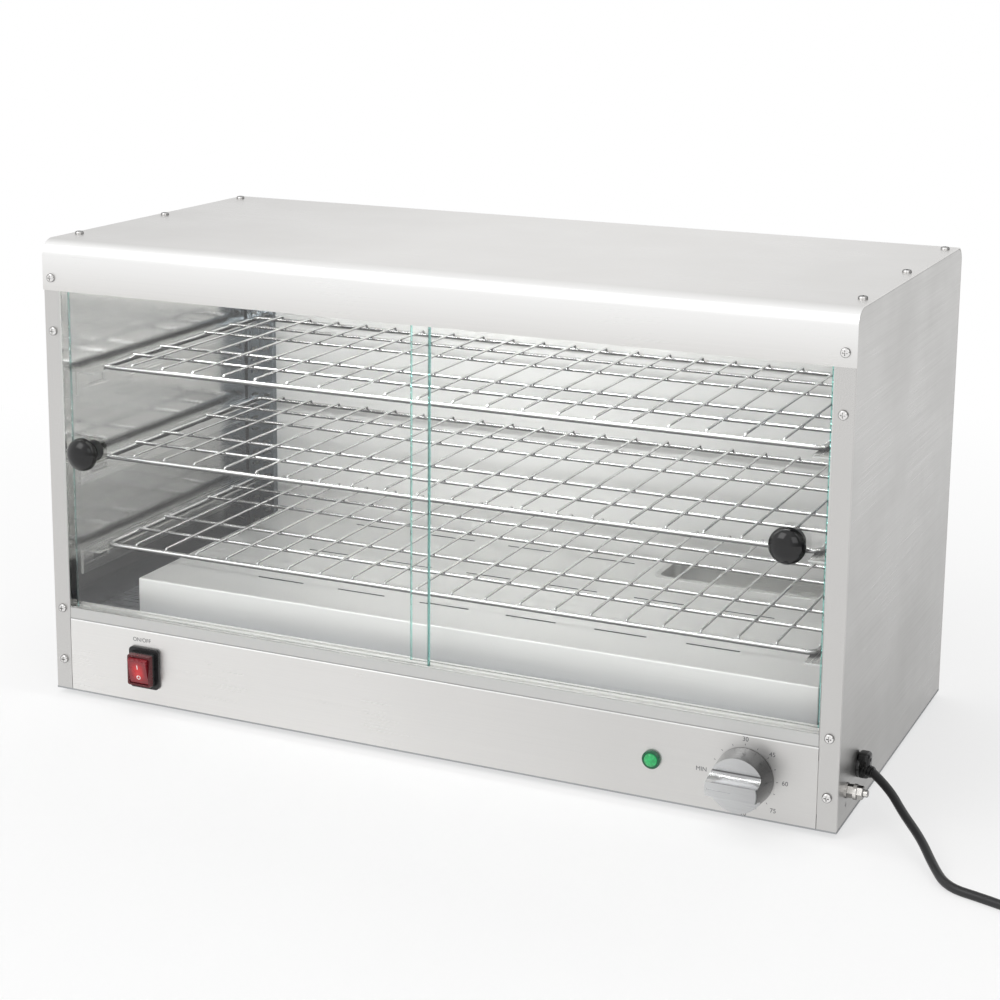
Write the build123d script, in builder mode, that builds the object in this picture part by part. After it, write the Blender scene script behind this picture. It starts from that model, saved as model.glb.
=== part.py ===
from build123d import *
import os
from math import atan2, degrees, pi, radians, tan

os.makedirs("parts", exist_ok=True)

# Cabinet, outside sizes of the sheet metal body
body_width = 760.0
body_depth = 360.0
body_height = 430.0
sheet = 1.2
liner = 1.0
base_sheet = 1.5
flange = 17.0
roll_radius = 15.5
rear_radius = 15.0
bend_radius = 1.0
fascia_drop = 46.4
fascia_hem = 4.0
skirt_drop = 40.0
skirt_lap = 14.0
back_gap = 28.0

# Feet
foot_height = 5.0
foot_diameter = 30.0
foot_taper = 2.0
foot_inset_x = 60.0
foot_inset_y = 45.0
foot_recess_depth = 3.2
foot_recess_clearance = 1.0

# Screws, cross recessed pan heads
head_diameter = 8.0
head_height = 2.4
head_round = 1.5
shank_diameter = 4.0
shank_length = 8.0
screw_clearance = 0.05
cross_width = 0.9
cross_span = 4.4
cross_depth = 1.2
front_screw_inset = 9.1
fascia_screw_drop = 34.8
door_screw_drop = 37.9
sill_screw_rise = 9.1
panel_screw_height = 29.7
top_screw_inset = 9.2
top_screw_front = 45.5
top_screw_rear = 30.3
rear_screw_inset = 9.2
rear_screw_margin = 28.0
skirt_screw_rise = 7.0
skirt_screw_margin = 60.0
base_screw_margin = 40.0

# Control panel
panel_height = 71.0
panel_gap = 0.5
panel_flange = 14.0
panel_tab_lap = 10.0
panel_tab_reach = 13.0
panel_tab_margin = 12.0

# Sliding glass doors and their tracks
glass = 4.0
groove_clearance = 0.4
track_web = 4.7
front_groove_middle = 6.5
track_rear_wall = 2.6
sill_height = 11.0
sill_groove_depth = 6.0
top_track_height = 16.0
top_groove_depth = 13.0
glass_lift = 5.0
pane_gap = 4.0
pane_overlap = 22.0
pane_edge_chamfer = 0.5
door_knob_height = 233.0
left_knob_inset = 17.0
right_knob_inset = 30.0
knob_cap_diameter = 31.0
knob_cap_depth = 14.0
knob_neck_diameter = 19.0
knob_neck_depth = 4.0
knob_spigot_diameter = 7.0
knob_spigot_clearance = 0.05
knob_nut_diameter = 20.0
knob_nut_depth = 10.0
knob_nut_chamfer = 1.0

# Racks of welded wire and what carries them
rack_frame_wire = 4.5
rack_cross_wire = 3.4
rack_thin_wire = 2.4
rack_weld = 0.5
rack_stub_weld = 2.0
rack_corner_radius = 8.0
rack_side_gap = 14.0
rack_setback = 38.0
rack_rear_gap = 3.8
rack_wire_count = 20
rack_wire_rise = 4.2
rack_wire_bend = 2.4
rack_cross_outer = 52.0
rack_cross_inner = 98.0
rack_first_height = 135.5
rack_pitch = 86.0
ledge_margin = 2.0
ledge_sheet = 1.5
ledge_web = 24.0
ledge_setback = 22.0
ledge_slot_length = 26.0
ledge_slot_height = 7.0
ledge_slot_front = 16.0
upright_width = 30.0
upright_depth = 8.0
upright_sheet = 1.2
upright_side_gap = 2.0
upright_slot_length = 9.0
upright_slot_height = 2.6
upright_slot_pitch = 12.5
upright_slot_spacing = 14.0
upright_slot_tilt = 18.0

# Heater, its slotted cover and the water tray in it
cover_sheet = 1.0
cover_height = 34.0
cover_left_gap = 47.0
cover_right_gap = 13.0
cover_setback = 45.0
cover_rear_gap = 9.0
cover_corner_radius = 1.5
cover_slot_length = 50.0
cover_slot_width = 2.6
cover_slot_left = 124.0
cover_slot_right = 110.0
cover_slot_row_front = 53.3
cover_slot_row_rear = 26.5
cover_slot_tray_gap = 33.4
cover_slot_columns = 6
tray_sheet = 0.8
tray_length = 190.0
tray_width = 56.0
tray_depth = 24.0
tray_rim = 5.0
tray_corner = 8.0
tray_bottom_radius = 3.0
tray_hole_clearance = 0.6
tray_right = 164.0
tray_rear = 69.0
element_diameter = 8.0
element_end_left = 75.0
element_end_right = 69.0
element_span = 46.0
element_height = 18.0
element_first_row = 62.0
element_row_pitch = 90.0
element_tail = 22.0
element_bend = 12.0
element_hole_clearance = 0.6
bracket_sheet = 1.5
bracket_foot = 12.0
bracket_margin = 8.0
bracket_from_left = 50.0
bracket_from_right = 90.0
bracket_clearance = 0.05

# Thermostat and its dial knob
dial_right = 78.7
dial_height = 35.0
knob_diameter = 50.0
knob_draft = 1.6
knob_skirt = 21.0
knob_depth = 36.0
knob_gap = 0.6
knob_wall = 2.5
knob_hollow = 14.0
knob_boss_diameter = 13.0
grip_root = 21.6
grip_tip = 12.0
grip_length = 40.0
grip_scoop = 1.6
grip_mark_width = 1.2
grip_mark_depth = 0.5
knob_tip_round = 1.6
stem_diameter = 6.0
stem_clearance = 0.05
stem_in_knob = 14.0
stem_in_body = 10.0
bush_diameter = 10.0
bush_hole_clearance = 0.1
bush_length = 5.0
bush_knob_clearance = 0.4
thermostat_width = 36.0
thermostat_height = 40.0
thermostat_depth = 28.0
thermostat_edge = 3.0
thermostat_screw_span = 28.0
bulb_diameter = 6.0
bulb_length = 90.0
bulb_setback = 24.0
bulb_right = 260.0
bulb_round = 1.4
capillary_diameter = 2.0
capillary_bend = 8.0
capillary_hole_clearance = 2.5

# Rocker switch in its moulded housing
switch_left = 100.0
switch_height = 35.5
switch_flange_width = 32.0
switch_flange_height = 39.0
switch_flange_depth = 2.5
switch_flange_corner = 4.0
collar_width = 26.0
collar_height = 32.0
collar_front_width = 24.6
collar_front_height = 29.0
collar_depth = 11.0
collar_corner = 2.0
switch_body_width = 24.0
switch_body_height = 30.0
switch_body_depth = 22.0
rocker_width = 19.6
rocker_radius = 12.2
rocker_face = 4.0
rocker_back = 6.0
rocker_tilt = 12.0
rocker_clearance = 0.4
rocker_pivot_rise = 8.5
pivot_diameter = 3.0
pivot_length = 1.4
pivot_clearance = 0.05
pocket_depth = 12.5

# Indicator lamp
lamp_right = 159.2
lamp_height = 35.8
lamp_flange_diameter = 16.0
lamp_flange_depth = 3.0
lamp_lens_diameter = 11.6
lamp_lens_rise = 2.6
lamp_body_diameter = 12.0
lamp_body_length = 24.0
lamp_lens_seat = 1.8
lamp_lens_clearance = 0.05
lamp_edge = 0.6

# Supply terminals inside the base
block_right = 270.0
block_rear = 150.0
block_length = 44.0
block_width = 24.0
block_height = 20.0
block_way_pitch = 10.0
block_way_height = 14.0
block_well_diameter = 6.5
block_well_depth = 4.0
block_screw_diameter = 5.6
block_screw_height = 2.8
block_chamfer = 1.5
lead_diameter = 3.0
lead_bend = 8.0
lead_height = 11.0
lead_run = 10.0
link_drop = 20.0
link_reach = 25.0
sheath_reach = 35.0
sheath_bend = 10.0

# Bonding terminal on the right side
bond_back = 27.0
bond_height = 28.0
bond_stud_diameter = 6.0
bond_clearance = 0.05
bond_head_across = 10.0
bond_head_height = 4.0
bond_washer_diameter = 13.0
bond_washer_thickness = 1.4
bond_nut_across = 10.0
bond_nut_height = 5.0
bond_stud_spare = 3.8
bond_chamfer = 0.6

# Mains cord, its strain relief and its plug
cord_diameter = 7.5
cord_back = 61.0
cord_height = 36.0
relief_hole = 12.0
relief_flange_diameter = 18.0
relief_flange_depth = 3.0
relief_root_diameter = 15.0
relief_tip_diameter = 11.0
relief_length = 14.0
relief_tip_side = 4.0
relief_tip_drop = 2.0
relief_tail_length = 9.0
relief_hole_clearance = 0.05

# Bends of the cord: reach from the right side, back from the strain relief's line, height over the floor
cord_bends = [
    (30.2, -13.9, 32.1),
    (47.0, -35.3, 22.9),
    (68.4, -60.9, 15.4),
    (84.7, -88.8, 8.3),
    (100.5, -112.0, 0.0),
    (129.0, -119.5, 0.0),
    (161.0, -130.0, 0.0),
    (195.0, -133.0, 0.0),
]

# Coil of the unseen length and its plug
coil_turn_radius = 38.0
coil_height_turns = 4
coil_width_turns = 2
coil_turns = 6.25
coil_gap = 0.6
coil_corner = 3.0
coil_rise = 0.4
coil_stub = 36.0
plug_length = 44.0
plug_width = 48.0
plug_thickness = 24.0
plug_corner = 7.0
plug_edge = 3.0
plug_nose_length = 8.0
plug_nose_diameter = 13.0
pin_row_place = 11.0
pin_live_width = 6.3
pin_live_thickness = 4.0
pin_live_length = 17.5
pin_live_span = 22.2
pin_earth_width = 4.0
pin_earth_thickness = 8.0
pin_earth_length = 22.5
pin_earth_rise = 22.2

# Vents in the base plate
vent_length = 40.0
vent_width = 4.0
vent_pitch = 10.0
vent_count = 6

# Datum faces: the middle of the bounding box lies over the origin and the feet stand on the floor
bond_stack = [bond_washer_thickness, bond_nut_height, bond_washer_thickness]
bond_stack += [bond_washer_thickness, bond_nut_height]
bond_reach = sum(bond_stack) + bond_stud_spare
front_reach = knob_gap + knob_depth - sheet
CENTRE_X = -bond_reach / 2
CENTRE_Y = (front_reach - head_height) / 2
LEFT = CENTRE_X - body_width / 2
RIGHT = CENTRE_X + body_width / 2
FRONT = CENTRE_Y - body_depth / 2
BACK = CENTRE_Y + body_depth / 2
BASE = foot_height
TOP = BASE + body_height

FACE = FRONT + sheet
FACE_IN = FACE + sheet
BASE_TOP = BASE + base_sheet
FLOOR = BASE + panel_height
SILL = FLOOR + sill_height
FASCIA = TOP - fascia_drop
TRACK_LOW = FASCIA + sheet
CEILING = TRACK_LOW + top_track_height
SKIRT = TOP - skirt_drop
WALL_LEFT = LEFT + flange + liner
WALL_RIGHT = RIGHT - flange - liner
WALL_BACK = BACK - back_gap - liner
CHAMBER_WIDTH = WALL_RIGHT - WALL_LEFT
GROOVE = glass + 2 * groove_clearance
REAR_GROOVE_MIDDLE = front_groove_middle + GROOVE + track_web
TRACK_DEPTH = REAR_GROOVE_MIDDLE + GROOVE / 2 + track_rear_wall
PANE_WIDTH = (CHAMBER_WIDTH - 2 * pane_gap + pane_overlap) / 2
PANE_LOW = SILL - sill_groove_depth
PANE_HIGH = TRACK_LOW + top_groove_depth - glass_lift
PANE_FRONT_Y = FACE + front_groove_middle - glass / 2
PANE_REAR_Y = FACE + REAR_GROOVE_MIDDLE - glass / 2
DOOR_KNOB_Z = BASE + door_knob_height
LEFT_KNOB_X = WALL_LEFT + pane_gap + left_knob_inset
RIGHT_KNOB_X = WALL_RIGHT - pane_gap - right_knob_inset
HOLE = shank_diameter / 2 + screw_clearance
CORNER = (Align.MIN, Align.MIN, Align.MIN)

front_screw_heights = [
    BASE + panel_screw_height,
    FLOOR + sill_screw_rise,
    FASCIA - door_screw_drop,
    TOP - fascia_screw_drop,
]
front_screw_columns = [LEFT + front_screw_inset, RIGHT - front_screw_inset]
top_screw_depths = [FRONT + top_screw_front, 0, BACK - top_screw_rear]
top_screw_depths[1] = (top_screw_depths[0] + top_screw_depths[2]) / 2
top_screw_columns = [LEFT + top_screw_inset, RIGHT - top_screw_inset]
rear_screw_columns = [LEFT + rear_screw_inset, RIGHT - rear_screw_inset]
rear_screw_heights = [BASE_TOP + rear_screw_margin, 0, SKIRT - rear_screw_margin]
rear_screw_heights[1] = (rear_screw_heights[0] + rear_screw_heights[2]) / 2
skirt_screw_columns = [WALL_LEFT + skirt_screw_margin, CENTRE_X, WALL_RIGHT - skirt_screw_margin]
base_screw_depths = [FACE + base_screw_margin, BACK - base_screw_margin]
base_screw_columns = [LEFT + flange / 2, RIGHT - flange / 2]
foot_places = [
    (x, y)
    for x in (LEFT + foot_inset_x, RIGHT - foot_inset_x)
    for y in (FRONT + foot_inset_y, BACK - foot_inset_y)
]
DIAL_X = RIGHT - dial_right
DIAL_Z = BASE + dial_height
LAMP_X = RIGHT - lamp_right
LAMP_Z = BASE + lamp_height
SWITCH_X = LEFT + switch_left
SWITCH_Z = BASE + switch_height
BOND_Y = FRONT + bond_back
BOND_Z = BASE + bond_height
CORD_Y = FRONT + cord_back
CORD_Z = BASE + cord_height
BLOCK_X = RIGHT - block_right
BLOCK_Y = BACK - block_rear


def save(piece, name):
    """Name a finished piece and write it to its own file."""
    piece.part.label = name
    export_step(piece.part, "parts/" + name + ".step")


def pan_screw(length):
    """A cross recessed pan head screw whose head sits on z = 0 and whose shank points down."""
    with BuildPart() as screw:
        Cylinder(head_diameter / 2, head_height, align=(Align.CENTER, Align.CENTER, Align.MIN))
        fillet(screw.edges().group_by(Axis.Z)[-1], head_round)
        with BuildSketch(Plane.XY.offset(head_height)):
            Rectangle(cross_span, cross_width)
            Rectangle(cross_width, cross_span)
        extrude(amount=-cross_depth, mode=Mode.SUBTRACT)
        Cylinder(shank_diameter / 2, length, align=(Align.CENTER, Align.CENTER, Align.MAX))
    return screw.part


def row_of_screws(places, turn, length):
    """Screws set at these places, each turned so that its head faces the same way."""
    with BuildPart() as screws:
        with Locations(*[Location(place, turn) for place in places]):
            add(pan_screw(length))
    return screws


FACING_FRONT = (90, 0, 0)
FACING_BACK = (-90, 0, 0)
FACING_DOWN = (180, 0, 0)
FACING_UP = (0, 0, 0)

# Base plate with vents, cord side terminals stand on it
with BuildPart() as base_plate:
    with Locations((LEFT, FACE, BASE)):
        Box(body_width, BACK - FACE, base_sheet, align=CORNER)
    with BuildSketch(Plane.XY.offset(BASE)):
        for side in (-1, 1):
            with Locations((CENTRE_X + side * body_width / 5, CENTRE_Y)):
                with GridLocations(0, vent_pitch, 1, vent_count):
                    SlotOverall(vent_length, vent_width)
        with Locations(*foot_places):
            Circle(HOLE)
        with Locations(*[(x, y) for x in base_screw_columns for y in base_screw_depths]):
            Circle(HOLE)
    extrude(amount=base_sheet, mode=Mode.SUBTRACT)
save(base_plate, "base_plate")

with BuildPart() as feet:
    with BuildSketch():
        with Locations(*foot_places):
            Circle(foot_diameter / 2 - foot_taper)
    extrude(amount=foot_height, taper=-degrees(atan2(foot_taper, foot_height)))
    with BuildSketch():
        with Locations(*foot_places):
            Circle(head_diameter / 2 + foot_recess_clearance)
    extrude(amount=foot_recess_depth, mode=Mode.SUBTRACT)
    with BuildSketch():
        with Locations(*foot_places):
            Circle(HOLE)
    extrude(amount=foot_height, mode=Mode.SUBTRACT)
save(feet, "feet")

foot_screws = row_of_screws([(x, y, foot_recess_depth) for x, y in foot_places], FACING_DOWN, shank_length)
save(foot_screws, "foot_screws")

base_screws = row_of_screws(
    [(x, y, BASE) for x in base_screw_columns for y in base_screw_depths], FACING_DOWN, shank_length
)
save(base_screws, "base_screws")


def drill(plane, places, radius, depth):
    """Round holes through sheet, from the plane along its normal."""
    with BuildSketch(plane) as circles:
        with Locations(*places):
            Circle(radius)
    extrude(circles.sketch, amount=depth, mode=Mode.SUBTRACT)


def side_outline(plane, inset):
    """The side's outline seen from the right, drawn in from the panel's edge by the inset."""
    with BuildSketch(plane) as outline:
        with Locations(((FACE + BACK - sheet) / 2, (BASE_TOP + TOP - sheet) / 2)):
            Rectangle(BACK - sheet - FACE - 2 * inset, TOP - sheet - BASE_TOP - 2 * inset)
        top_corners = outline.vertices().group_by(Axis.Y)[-1].sort_by(Axis.X)
        fillet(top_corners[0], roll_radius - sheet - inset)
        fillet(outline.vertices().group_by(Axis.Y)[-1].sort_by(Axis.X)[-1], rear_radius - sheet - inset)
    return outline.sketch


def side_panel(outer, inward):
    """A side of the body: one sheet whose four edges are turned in as flanges."""
    edge = outer + inward * flange
    with BuildPart() as side:
        extrude(side_outline(Plane.YZ.offset(outer), 0), amount=inward * flange)
        hollow = side_outline(Plane.YZ.offset(outer + inward * sheet), sheet)
        extrude(hollow, amount=inward * flange, mode=Mode.SUBTRACT)
        skin = side.faces().sort_by(Axis.X)[0 if inward > 0 else -1]
        fillet(skin.edges(), bend_radius)
        column = outer + inward * front_screw_inset
        drill(Plane.XZ.offset(-FACE_IN), [(column, z) for z in front_screw_heights], HOLE, sheet)
        column = outer + inward * top_screw_inset
        drill(Plane.XY.offset(TOP - 2 * sheet), [(column, y) for y in top_screw_depths], HOLE, sheet)
        column = outer + inward * rear_screw_inset
        drill(Plane.XZ.offset(-BACK + sheet), [(column, z) for z in rear_screw_heights], HOLE, sheet)
        column = outer + inward * flange / 2
        drill(Plane.XY.offset(BASE_TOP), [(column, y) for y in base_screw_depths], HOLE, sheet)
        if inward < 0:
            drill(Plane.YZ.offset(edge), [(CORD_Y, CORD_Z)], relief_hole / 2 + relief_hole_clearance, flange)
            drill(Plane.YZ.offset(edge), [(BOND_Y, BOND_Z)], bond_stud_diameter / 2 + bond_clearance, flange)
    return side


# Side panels, whose front flanges are the posts beside the glass
left_side = side_panel(LEFT, 1)
save(left_side, "left_side")
right_side = side_panel(RIGHT, -1)
save(right_side, "right_side")

# Top cover: fascia, rolled front edge, top and a short skirt down the back in one sheet
with BuildPart() as top_cover:
    with BuildSketch(Plane.YZ.offset(LEFT)) as cover_outline:
        with Locations((CENTRE_Y, (FASCIA + TOP) / 2)):
            Rectangle(body_depth, TOP - FASCIA)
        fillet(cover_outline.vertices().group_by(Axis.Y)[-1].sort_by(Axis.X)[0], roll_radius)
        fillet(cover_outline.vertices().group_by(Axis.Y)[-1].sort_by(Axis.X)[-1], rear_radius)
    extrude(amount=body_width)
    with BuildSketch(Plane.YZ.offset(LEFT)) as cover_hollow:
        with Locations((CENTRE_Y, (FASCIA + TOP) / 2 - sheet)):
            Rectangle(body_depth - 2 * sheet, TOP - FASCIA)
        fillet(cover_hollow.vertices().group_by(Axis.Y)[-1].sort_by(Axis.X)[0], roll_radius - sheet)
        fillet(cover_hollow.vertices().group_by(Axis.Y)[-1].sort_by(Axis.X)[-1], rear_radius - sheet)
    extrude(amount=body_width, mode=Mode.SUBTRACT)
    with Locations((LEFT, BACK - 2 * sheet, FASCIA)):
        Box(body_width, 3 * sheet, SKIRT - FASCIA, align=CORNER, mode=Mode.SUBTRACT)
    with Locations((WALL_LEFT + panel_gap, FACE, FASCIA)):
        Box(CHAMBER_WIDTH - 2 * panel_gap, fascia_hem - sheet, sheet, align=CORNER)
    fascia_places = [(x, front_screw_heights[-1]) for x in front_screw_columns]
    drill(Plane.XZ.offset(-FACE), fascia_places, HOLE, sheet)
    top_places = [(x, y) for x in top_screw_columns for y in top_screw_depths]
    drill(Plane.XY.offset(TOP - sheet), top_places, HOLE, sheet)
    drill(Plane.XZ.offset(-BACK), [(x, SKIRT + skirt_screw_rise) for x in skirt_screw_columns], HOLE, sheet)
save(top_cover, "top_cover")

with BuildPart() as back_panel:
    with Locations((LEFT, BACK - sheet, BASE_TOP)):
        Box(body_width, sheet, SKIRT - BASE_TOP, align=CORNER)
    with Locations((WALL_LEFT, BACK - 2 * sheet, SKIRT - skirt_lap)):
        Box(CHAMBER_WIDTH, sheet, 2 * skirt_lap, align=CORNER)
    rear_places = [(x, z) for x in rear_screw_columns for z in rear_screw_heights]
    drill(Plane.XZ.offset(-BACK), rear_places, HOLE, sheet)
    skirt_places = [(x, SKIRT + skirt_screw_rise) for x in skirt_screw_columns]
    drill(Plane.XZ.offset(-BACK), skirt_places, HOLE, 2 * sheet)
save(back_panel, "back_panel")

# Control panel between the posts, held by a tab behind each post
PANEL_LEFT = LEFT + flange + panel_gap
PANEL_RIGHT = RIGHT - flange - panel_gap
with BuildPart() as control_panel:
    with Locations((PANEL_LEFT, FACE, BASE_TOP)):
        Box(PANEL_RIGHT - PANEL_LEFT, sheet, FLOOR - BASE_TOP, align=CORNER)
        Box(PANEL_RIGHT - PANEL_LEFT, panel_flange, sheet, align=CORNER)
    with Locations((PANEL_LEFT, FACE, FLOOR - sheet)):
        Box(PANEL_RIGHT - PANEL_LEFT, panel_flange, sheet, align=CORNER)
    tab_low = BASE_TOP + panel_tab_margin
    tab_height = FLOOR - panel_tab_margin - tab_low
    for start in (PANEL_LEFT - panel_tab_reach, PANEL_RIGHT - panel_tab_lap):
        with Locations((start, FACE_IN, tab_low)):
            Box(panel_tab_reach + panel_tab_lap, sheet, tab_height, align=CORNER)
    edge = control_panel.edges().filter_by(Axis.X).group_by(Axis.Y)[0].sort_by(Axis.Z)[-1]
    fillet(edge, bend_radius)
    with BuildSketch(Plane.XZ.offset(-FACE_IN)):
        with Locations((SWITCH_X, SWITCH_Z)):
            Rectangle(switch_body_width + 2 * pivot_clearance, switch_body_height + 2 * pivot_clearance)
        with Locations((LAMP_X, LAMP_Z)):
            Circle(lamp_body_diameter / 2 + pivot_clearance)
        with Locations((DIAL_X, DIAL_Z)):
            Circle(bush_diameter / 2 + bush_hole_clearance)
        with Locations((DIAL_X, DIAL_Z)):
            with GridLocations(thermostat_screw_span, 0, 2, 1):
                Circle(HOLE)
    extrude(amount=sheet, mode=Mode.SUBTRACT)
    tab_places = [(x, front_screw_heights[0]) for x in front_screw_columns]
    drill(Plane.XZ.offset(-FACE_IN - sheet), tab_places, HOLE, sheet)
save(control_panel, "control_panel")

# Screws of the outer skin
front_screws = row_of_screws(
    [(x, FACE, z) for x in front_screw_columns for z in front_screw_heights[:-1]], FACING_FRONT, shank_length
)
save(front_screws, "front_screws")
fascia_screws = row_of_screws(
    [(x, FRONT, front_screw_heights[-1]) for x in front_screw_columns], FACING_FRONT, shank_length
)
save(fascia_screws, "fascia_screws")
top_screws = row_of_screws(
    [(x, y, TOP) for x in top_screw_columns for y in top_screw_depths], FACING_UP, shank_length
)
save(top_screws, "top_screws")
rear_screws = row_of_screws(
    [(x, BACK, z) for x in rear_screw_columns for z in rear_screw_heights]
    + [(x, BACK, SKIRT + skirt_screw_rise) for x in skirt_screw_columns],
    FACING_BACK,
    shank_length,
)
save(rear_screws, "rear_screws")


# Lining of the heated chamber
def side_lining(wall, outward):
    """An inner wall that stands on the floor, with a flange behind the post."""
    thick = outward * liner
    with BuildPart() as lining:
        with Locations((min(wall, wall + thick), FACE, FLOOR)):
            Box(liner, BACK - back_gap - FACE, CEILING - FLOOR, align=CORNER)
        reach = flange - 2 * sheet
        with Locations((min(wall + thick, wall + thick + outward * reach), FACE_IN, FLOOR)):
            Box(reach, liner, CEILING - FLOOR, align=CORNER)
        column = wall + thick + outward * (flange - front_screw_inset)
        drill(Plane.XZ.offset(-FACE_IN - liner), [(column, z) for z in front_screw_heights[1:]], HOLE, liner)
    return lining


left_lining = side_lining(WALL_LEFT, -1)
save(left_lining, "left_lining")
right_lining = side_lining(WALL_RIGHT, 1)
save(right_lining, "right_lining")

with BuildPart() as back_lining:
    with Locations((WALL_LEFT, WALL_BACK, FLOOR)):
        Box(CHAMBER_WIDTH, liner, CEILING - FLOOR, align=CORNER)
save(back_lining, "back_lining")

with BuildPart() as ceiling_lining:
    with Locations((WALL_LEFT - liner, FACE, CEILING)):
        Box(CHAMBER_WIDTH + 2 * liner, BACK - back_gap - FACE, liner, align=CORNER)
save(ceiling_lining, "ceiling_lining")

COVER_LEFT = WALL_LEFT + cover_left_gap
COVER_RIGHT = WALL_RIGHT - cover_right_gap
COVER_FRONT = FACE + cover_setback
COVER_BACK = WALL_BACK - cover_rear_gap
COVER_TOP = FLOOR + cover_height
TRAY_X = RIGHT - tray_right
TRAY_Y = BACK - tray_rear
ELEMENT_Z = FLOOR + element_height
ELEMENT_LEFT = COVER_LEFT + element_end_left
ELEMENT_RIGHT = COVER_RIGHT - element_end_right
element_rows = [COVER_FRONT + element_first_row + row * element_row_pitch for row in (0, 1)]
tail_places = [(ELEMENT_LEFT, row + side * element_span / 2) for row in element_rows for side in (-1, 1)]
TAIL_Z = FLOOR - element_tail
BULB_Y = COVER_FRONT + bulb_setback
BULB_Z = FLOOR + bulb_diameter / 2
BULB_X = RIGHT - bulb_right

with BuildPart() as chamber_floor:
    with Locations((LEFT + sheet, FACE + panel_flange, FLOOR - liner)):
        Box(body_width - 2 * sheet, BACK - 2 * sheet - FACE - panel_flange, liner, align=CORNER)
    under = Plane.XY.offset(FLOOR - liner)
    drill(under, tail_places, element_diameter / 2 + element_hole_clearance, liner)
    hole_place = [(BULB_X + bulb_length + 2 * capillary_bend, BULB_Y)]
    drill(under, hole_place, capillary_diameter / 2 + capillary_hole_clearance, liner)
save(chamber_floor, "chamber_floor")


# Door tracks, each with two grooves
def door_track(low, high, groove_plane, groove_depth):
    """A bar between the linings with a front and a rear groove for the panes."""
    with BuildPart() as track:
        with Locations((WALL_LEFT, FACE, low)):
            Box(CHAMBER_WIDTH, TRACK_DEPTH, high - low, align=CORNER)
        with BuildSketch(groove_plane):
            for middle in (front_groove_middle, REAR_GROOVE_MIDDLE):
                with Locations((CENTRE_X, FACE + middle)):
                    Rectangle(CHAMBER_WIDTH, GROOVE)
        extrude(amount=groove_depth, mode=Mode.SUBTRACT)
    return track


door_track_bottom = door_track(FLOOR, SILL, Plane.XY.offset(SILL), -sill_groove_depth)
save(door_track_bottom, "door_track_bottom")
door_track_top = door_track(TRACK_LOW, CEILING, Plane.XY.offset(TRACK_LOW), top_groove_depth)
save(door_track_top, "door_track_top")


# Glass doors and their knobs
def glass_door(pane_left, pane_front, knob_x):
    """A pane with polished edges and a hole for its knob."""
    with BuildPart() as pane:
        with Locations((pane_left, pane_front, PANE_LOW)):
            Box(PANE_WIDTH, glass, PANE_HIGH - PANE_LOW, align=CORNER)
        upright_edges = pane.edges().filter_by(Axis.Z)
        chamfer(upright_edges, pane_edge_chamfer)
        hole = knob_spigot_diameter / 2 + knob_spigot_clearance
        drill(Plane.XZ.offset(-pane_front - glass), [(knob_x, DOOR_KNOB_Z)], hole, glass)
    return pane


def door_knob(knob_x, pane_front):
    """A mushroom knob turned about the line through its spigot, which fills the hole in the glass."""
    cap = knob_cap_diameter / 2
    neck = knob_neck_diameter / 2
    spigot = knob_spigot_diameter / 2
    with BuildPart() as knob:
        with BuildSketch(Plane.XY):
            with BuildLine():
                Polyline((0, -glass), (spigot, -glass), (spigot, 0), (neck, 0), (neck, knob_neck_depth))
                Line((neck, knob_neck_depth), (cap, knob_neck_depth + knob_cap_depth / 5))
                Spline(
                    (cap, knob_neck_depth + knob_cap_depth / 5),
                    (cap * 0.72, knob_neck_depth + knob_cap_depth * 0.78),
                    (0, knob_neck_depth + knob_cap_depth),
                    tangents=[(0, 1), (-1, 0)],
                )
                Line((0, knob_neck_depth + knob_cap_depth), (0, -glass))
            make_face()
        revolve(axis=Axis.Y)
    return knob.part.moved(Location((knob_x, pane_front, DOOR_KNOB_Z), (180, 0, 0)))


def door_nut(knob_x, pane_front):
    """The round nut on the inner side of the glass."""
    back = pane_front + glass
    with BuildPart() as nut:
        with BuildSketch(Plane.XZ.offset(-back)):
            with Locations((knob_x, DOOR_KNOB_Z)):
                Circle(knob_nut_diameter / 2)
        extrude(amount=-knob_nut_depth)
        chamfer(nut.edges().group_by(Axis.Y)[-1], knob_nut_chamfer)
    return nut


LEFT_PANE_X = WALL_LEFT + pane_gap
RIGHT_PANE_X = WALL_RIGHT - pane_gap - PANE_WIDTH
left_glass = glass_door(LEFT_PANE_X, PANE_FRONT_Y, LEFT_KNOB_X)
save(left_glass, "left_glass")
right_glass = glass_door(RIGHT_PANE_X, PANE_REAR_Y, RIGHT_KNOB_X)
save(right_glass, "right_glass")
with BuildPart() as left_door_knob:
    add(door_knob(LEFT_KNOB_X, PANE_FRONT_Y))
save(left_door_knob, "left_door_knob")
with BuildPart() as right_door_knob:
    add(door_knob(RIGHT_KNOB_X, PANE_REAR_Y))
save(right_door_knob, "right_door_knob")
left_door_nut = door_nut(LEFT_KNOB_X, PANE_FRONT_Y)
save(left_door_nut, "left_door_nut")
right_door_nut = door_nut(RIGHT_KNOB_X, PANE_REAR_Y)
save(right_door_nut, "right_door_nut")

# Racks: a bent frame, four cross wires and thin wires that run from front to back
RACK_LEFT = WALL_LEFT + rack_side_gap + rack_frame_wire / 2
RACK_RIGHT = WALL_RIGHT - rack_side_gap - rack_frame_wire / 2
RACK_FRONT = FACE + rack_setback + rack_frame_wire / 2
RACK_BACK = WALL_BACK - upright_depth - rack_rear_gap - rack_frame_wire / 2
rack_heights = [BASE + rack_first_height + level * rack_pitch for level in (0, 1, 2)]
THIN_Z = rack_wire_rise
STUB_Z = rack_frame_wire / 2 - rack_stub_weld
CROSS_Z = rack_wire_rise - rack_thin_wire / 2 - rack_cross_wire / 2 + rack_weld

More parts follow.
